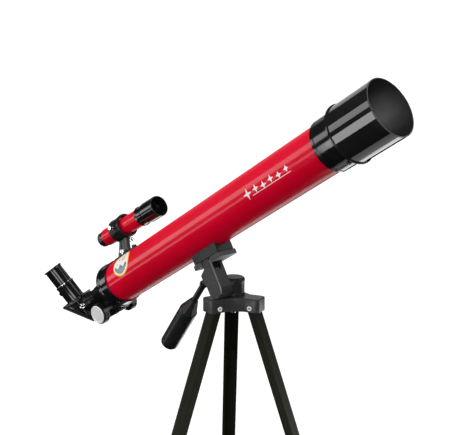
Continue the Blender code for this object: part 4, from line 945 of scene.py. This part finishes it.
def crown():
    corner, waist = 0.0045, 0.0196
    outline = []
    for azimuth in LEG_AZIMUTHS:
        local = arc((LOBE_END - corner, -LOBE_HALF + corner), corner, -90, 0, 8)
        local += arc((LOBE_END - corner, LOBE_HALF - corner), corner, 0, 90, 8)
        root = (0.0195, LOBE_HALF)
        local = [(root[0], -root[1])] + local + [root]
        spin = radians(azimuth)
        outline += [(x * cos(spin) - y * sin(spin), x * sin(spin) + y * cos(spin)) for x, y in local]
        outline.append((waist * cos(spin + pi / 3), waist * sin(spin + pi / 3)))
    obj = solid("leg_crown", prism(outline, -CROWN_THICK, 0), CROWN)
    bevel_edges(obj, lambda edge: all(v.co.z > -1e-6 for v in edge.verts), 0.0015, 4)
    slot_half = CHANNEL_WIDTH / 2 + 0.0005
    for azimuth in LEG_AZIMUTHS:
        lobe = CROWN @ turn(radians(azimuth), "Z") @ shift(PIN_OUT, 0, -PIN_DROP)
        cut(obj, slab((-0.0068, 0.0086), (-slot_half, slot_half), (-0.01, 0.0098)), lobe)
        cut(obj, rod(RIVET_BORE_R, -0.02, 0.02, 40), lobe @ TO_Y)
    cut(obj, rod(BOLT_BORE_R, -0.03, 0.01, 48), CROWN)
    dress(obj, "base", SATIN, ["crown"], bevel=0.0004, angle=40)


post()
crown()


def channel(width, depth, low, high, inner_low, inner_high, rounded):
    """Outline-built channel section along local Z, its open side towards -X; the top end may be half round."""
    half, deep = width / 2, depth / 2
    outline = [(-deep, low), (deep, low)]
    outline += arc((0, 0), deep, 0, 180, 24) if rounded else [(deep, high), (-deep, high)]
    inside = slab((-0.02, deep - CHANNEL_WALL), (-half + CHANNEL_WALL, half - CHANNEL_WALL), (inner_low, inner_high))
    return prism(outline, -half, half), inside


def leg(number, azimuth):
    lobe = CROWN @ turn(radians(azimuth), "Z") @ shift(PIN_OUT, 0, -PIN_DROP)
    frame = lobe @ turn(-LEG_SPLAY, "Y")
    side_on = frame @ TO_NEAR
    head = LOBE_HALF + GAP + 0.0009
    seat = LOBE_HALF + GAP
    outline = []
    for end in (-1, 1):
        rim = [(0, 0.0058), (0.0013, 0.006), (0.0016, head - 0.0002), (0.0022, head), (0.003, head - 0.0003),
               (0.0034, seat), (0.0025, seat)]
        outline += [(r, end * z) for r, z in (rim if end < 0 else rim[::-1])]
    piece(f"leg_tubular_rivet_{number}", lathe(outline, 72, 0.0002), lobe @ TO_Y, "base", DISC,
          [f"leg_rivet_{number}"])

    shell, inside = channel(CHANNEL_WIDTH, CHANNEL_DEPTH, -CHANNEL_LEN, 0.0, -0.4, 0.02, True)
    obj = solid(f"leg_channel_{number}", shell, side_on)
    cut(obj, inside, frame)
    cut(obj, rod(RIVET_BORE_R, -0.02, 0.02, 40), frame @ TO_Y)
    dress(obj, f"leg_{number}", CHANNEL, [f"leg_upper_{number}"], bevel=0.0005, angle=40)

    top = LOWER_END - LOWER_LEN
    shell, inside = channel(LOWER_WIDTH, LOWER_DEPTH, -LOWER_END, -top, -0.5, 0.0, False)
    obj = solid(f"leg_inner_channel_{number}", shell, side_on)
    cut(obj, inside, frame)
    dress(obj, f"leg_slider_{number}", CHANNEL, [f"leg_lower_{number}"], bevel=0.0005, angle=40)
    leg_clamp(number, frame, side_on)
    leg_foot(number, frame)


def leg_clamp(number, frame, side_on):
    end = -CHANNEL_LEN
    low = end - 0.006
    hinge_x, hinge_z, ear_r = 0.0112, end + 0.001, 0.0031
    body_outline = [(-0.008, -0.0116), (0.008, -0.0116), (0.008, 0.0116), (-0.008, 0.0116)]
    obj = solid(f"leg_lock_{number}", prism(body_outline, low, end + 0.025), frame)
    for rib in range(3):
        z = end + 0.01 + rib * 0.0045
        for side in (-1, 1):
            cut(obj, slab((-0.006, 0.006), span(side, 0.0112, 0.0122), (z, z + 0.0018)), frame)
    for side in (-1, 1):
        outline = arc((hinge_x, hinge_z), ear_r, -90, 90, 20)
        outline += [(0.006, hinge_z + ear_r), (0.006, hinge_z - ear_r)]
        ear = prism(outline, -0.0016, 0.0016)
        join(obj, ear, frame @ shift(0, side * 0.0092, 0) @ TO_NEAR)
    deep, half = CHANNEL_DEPTH / 2 + GAP, CHANNEL_WIDTH / 2 + GAP
    cut(obj, slab((-deep, deep), (-half, half), (end - GAP, 0.0)), frame)
    deep, half = LOWER_DEPTH / 2 + GAP, LOWER_WIDTH / 2 + GAP
    cut(obj, slab((-deep, deep), (-half, half), (-0.5, 0.0)), frame)
    hinge = frame @ shift(hinge_x, 0, hinge_z)
    cut(obj, rod(0.0017, -0.02, 0.02, 32), hinge @ TO_Y)
    dress(obj, f"leg_{number}", BLOCK, [f"leg_clamp_{number}"], "gloss_black", bevel=0.0007, angle=38)
    width = 0.0072
    outline = arc((0, 0), 0.0027, 180, 360, 24)
    outline += [(0.0027, 0.018), (0.004, 0.026), (0.0022, 0.027), (-0.0008, 0.019), (-0.0027, 0.015)]
    lever = solid(f"leg_lock_lever_{number}", prism(outline, -width, width), hinge @ TO_NEAR)
    join(lever, rod(0.0014, -0.0102, 0.0102, 40), hinge @ TO_Y)
    dress(lever, f"leg_lever_{number}", BLOCK, [f"leg_lever_{number}"], "gloss_black", bevel=0.0006, angle=38)


def leg_foot(number, frame):
    top = -LOWER_END + 0.018
    outline = [(-0.0075, -0.01), (0.0075, -0.01), (0.0075, 0.01), (-0.0075, 0.01)]
    obj = solid(f"rubber_shoe_{number}", prism(outline, -LOWER_END - 0.02, top), frame)
    bevel_edges(obj, lambda edge: abs(edge.verts[0].co.z - edge.verts[1].co.z) > 0.001, 0.0022, 6)
    deep, half = LOWER_DEPTH / 2 + GAP, LOWER_WIDTH / 2 + GAP
    cut(obj, slab((-deep, deep), (-half, half), (-LOWER_END - GAP, 0.0)), frame)
    cut(obj, slab((-1, 1), (-1, 1), (-0.5, 0.0)), HERE)
    for rib in range(3):
        z = top - 0.0042 - rib * 0.0036
        rows = (z, z + 0.0012)
        for side in (-1, 1):
            cut(obj, slab(span(side, 0.007, 0.02), (-0.0078, 0.0078), rows), frame)
            cut(obj, slab((-0.0053, 0.0053), span(side, 0.0095, 0.02), rows), frame)
    dress(obj, f"leg_slider_{number}", RUBBER, [f"foot_{number}"], bevel=0.0004, angle=40)


for number, azimuth in enumerate(LEG_AZIMUTHS, start=1):
    leg(number, azimuth)


# ---------------------------------------------------------------- printed marks on the red tube
def printed(name, outlines, place, around, lift, material):
    """Wrap flat (along, across) outlines round the tube at place, around degrees above its near side."""
    bm = bmesh.new()
    for outline in outlines:
        bm.faces.new([bm.verts.new((u, v, 0.0)) for u, v in outline])
    step = 0.0012
    spread = [v.co.y for v in bm.verts]
    row = step * (int(min(spread) / step) - 1)
    while row < max(spread):
        geometry = bm.verts[:] + bm.edges[:] + bm.faces[:]
        bmesh.ops.bisect_plane(bm, geom=geometry, plane_co=(0, row, 0), plane_no=(0, 1, 0))
        row += step
    radius = TUBE_R + lift
    for vert in bm.verts:
        angle = radians(around) + vert.co.y / TUBE_R
        vert.co = Vector((place + vert.co.x, -radius * cos(angle), radius * sin(angle)))
    bmesh.ops.recalc_face_normals(bm, faces=bm.faces[:])
    outward = sum(f.normal.dot(Vector((0, f.calc_center_median().y, f.calc_center_median().z))) for f in bm.faces)
    if outward < 0:
        bmesh.ops.reverse_faces(bm, faces=bm.faces[:])
    bmesh.ops.solidify(bm, geom=bm.faces[:], thickness=0.00006)
    fitted(name, bm, SCOPE, material, slot="red_paint", angle=50)


def star(radius, waist, x, y):
    """A four-pointed star."""
    reach = (radius, waist)
    return [(x + reach[k % 2] * cos(pi * k / 4), y + reach[k % 2] * sin(pi * k / 4)) for k in range(8)]


def marks():
    """A round seal with hills and a night sky by the focuser, and a row of stars over a rule further on."""
    def seal(name, outlines, layer, material):
        printed(name, outlines, 0.0397, 33.0, 0.00008 + 0.00006 * layer, material)

    steps = 96
    rounds = (("seal_rim", 0.0197, ORANGE_INK), ("seal_inner_rim", 0.0184, YELLOW_INK),
            ("seal_ring", 0.0172, WHITE_INK), ("seal_field", 0.0158, FIELD_INK))
    for layer, (name, radius, look) in enumerate(rounds):
        seal(name, [arc((0, 0), radius, 0, 360 - 360 / steps, steps - 1)], layer, look)
    hills = arc((0, 0), 0.0158, 200, 340, 40)
    hills += [(0.0158 * cos(radians(340)) * (1 - 2 * k / 20), -0.0054 + 0.0022 * sin(k * 0.75)) for k in range(1, 20)]
    seal("seal_hills", [hills], 4, BLUE_INK)
    moon = arc((0.005, 0.0052), 0.004, 40, 320, 30) + arc((0.0072, 0.0052), 0.003, 300, 60, 24)
    seal("seal_moon", [moon], 4, ORANGE_INK)
    stars = [star(0.0022, 0.0007, -0.0062, 0.007), star(0.0016, 0.0005, -0.001, 0.0108)]
    seal("seal_stars", stars + [star(0.0016, 0.0005, -0.0085, 0.0005)], 4, BLUE_INK)

    row = [star(0.0075, 0.0022, -0.034, 0)]
    row += [star(0.0054 - 0.0003 * k, 0.0019, -0.019 + 0.0135 * k, 0.0008 * (-1) ** k) for k in range(5)]
    rule = [(-0.027, -0.0052), (0.04, -0.0052), (0.04, -0.0045), (-0.027, -0.0045)]
    for name, outlines in (("tube_star_row", row), ("tube_star_rule", [rule])):
        printed(name, outlines, 0.3475, -5.0, 0.0001, WHITE_INK)


marks()


# ---------------------------------------------------------------- floor, light and camera
EYE = SCOPE.translation + Vector((1.0008, -0.802, 0.322))


def floor_material():
    material, tree, shader = node_material("studio_floor")
    feed(shader, "Base Color", ramp(tree, noise(tree, 3.0), (0.9, 0.9, 0.9), (0.93, 0.93, 0.93)))
    feed(shader, "Roughness", grey_ramp(tree, noise(tree, 60.0), 0.7, 0.8))
    return material


def strip_lamp(name, around, away, along, length, width, radiance):
    """A softbox seen only in reflections, along the tube: around degrees above its near side, away from its axis."""
    lamp = bpy.data.lights.new(name, "AREA")
    lamp.shape = "RECTANGLE"
    lamp.size, lamp.size_y = length, width
    lamp.energy = 4.0 * radiance * length * width
    obj = bpy.data.objects.new(name, lamp)
    bpy.context.collection.objects.link(obj)
    obj.matrix_world = SCOPE @ turn(-radians(around), "X") @ shift(along, -away, 0) @ TO_NEAR
    obj.visible_camera = False
    obj.visible_diffuse = False
    return obj


def aimed(place, back):
    """Frame at place whose light shines against the direction back."""
    return Matrix.Translation(place) @ back.to_track_quat("Z", "Y").to_matrix().to_4x4()


def stage_and_light():
    bm = bmesh.new()
    bmesh.ops.create_grid(bm, x_segments=1, y_segments=1, size=12.0)
    floor = solid("floor", bm, shift(0, 0, -0.0003))
    floor.data.materials.append(floor_material())
    floor.visible_diffuse = floor.visible_glossy = floor.visible_shadow = False

    world = bpy.data.worlds.new("studio")
    bpy.context.scene.world = world
    world.use_nodes = True
    nodes, links = world.node_tree.nodes, world.node_tree.links
    place = nodes.new("ShaderNodeTexCoord")
    split = nodes.new("ShaderNodeSeparateXYZ")
    fade = nodes.new("ShaderNodeMapRange")
    put(fade, From_Min=-0.3, From_Max=-0.05, To_Min=0.15, To_Max=1.4)
    links.new(place.outputs["Generated"], split.inputs["Vector"])
    links.new(split.outputs["Z"], fade.inputs["Value"])
    links.new(fade.outputs["Result"], nodes["Background"].inputs["Strength"])
    put(nodes["Background"], Color=(1.0, 1.0, 1.0, 1.0))
    world.cycles_visibility.glossy = False

    for lamp in (("strip_bright_front", -6.5, 0.6, 0.11, 0.18, 0.3, 5.0),
                 ("strip_bright_rear", 3.0, 0.6, -0.39, 0.82, 0.11, 2.2),
                 ("strip_far_side", -145.0, 0.8, -0.3, 1.4, 0.35, 2.5),
                 ("strip_dim", 36.0, 0.6, -0.3, 1.0, 0.244, 2.8),
                 ("strip_rim_front", 130.0, 0.8, 0.05, 0.3, 0.8, 0.8),
                 ("strip_rim_rear", 130.0, 0.8, -0.55, 0.9, 0.8, 0.3)):
        strip_lamp(*lamp)
    for name, along, length, radiance in (("low_front", 0.31, 0.34, 0.8), ("low_rear", -0.32, 0.6, 0.05)):
        card = strip_lamp(name, -90.0, 0.3, 0.0, length, 0.6, radiance)
        card.matrix_world = shift(along, 0.34, 0.01) @ FLIP
    mouth = SCOPE @ Vector((SHIELD_FRONT, 0, 0))
    data = bpy.data.lights.new("mouth_spot", "SPOT")
    data.energy, data.spot_size, data.spot_blend, data.shadow_soft_size = 110.0, radians(5.2), 0.9, 0.015
    spot = bpy.data.objects.new("mouth_spot", data)
    bpy.context.scene.collection.objects.link(spot)
    back = (SCOPE.to_quaternion() @ Vector((0.76, -0.64, -0.12))).normalized()
    spot.matrix_world = aimed(mouth + back * 0.5, back)
    spot.visible_glossy = False
    card = strip_lamp("camera_card", 0.0, 1.0, 0.0, 0.5, 0.5, 4.0)
    back = (EYE - Vector((0, 0, 0.35))).normalized()
    card.matrix_world = aimed(EYE + back * 0.1, back)
    card = strip_lamp("lip_card", 0.0, 1.0, 0.0, 0.5, 0.5, 1.1)
    eye = (SCOPE.inverted() @ EYE - Vector((SHIELD_FRONT, 0, 0))).normalized()
    back = (SCOPE.to_quaternion() @ Vector((eye.x, -eye.y, -eye.z))).normalized()
    card.matrix_world = aimed(mouth + back * 0.9, back)


def camera():
    lens = bpy.data.cameras.new("photo_view")
    lens.lens = 70.96
    lens.sensor_width = 36.0
    obj = bpy.data.objects.new("photo_view", lens)
    bpy.context.collection.objects.link(obj)
    obj.location = EYE
    obj.rotation_euler = (radians(79.73), 0.0, radians(44.355))
    bpy.context.scene.camera = obj
    bpy.context.scene.view_settings.view_transform = "Standard"


stage_and_light()
camera()
bpy.context.view_layer.update()
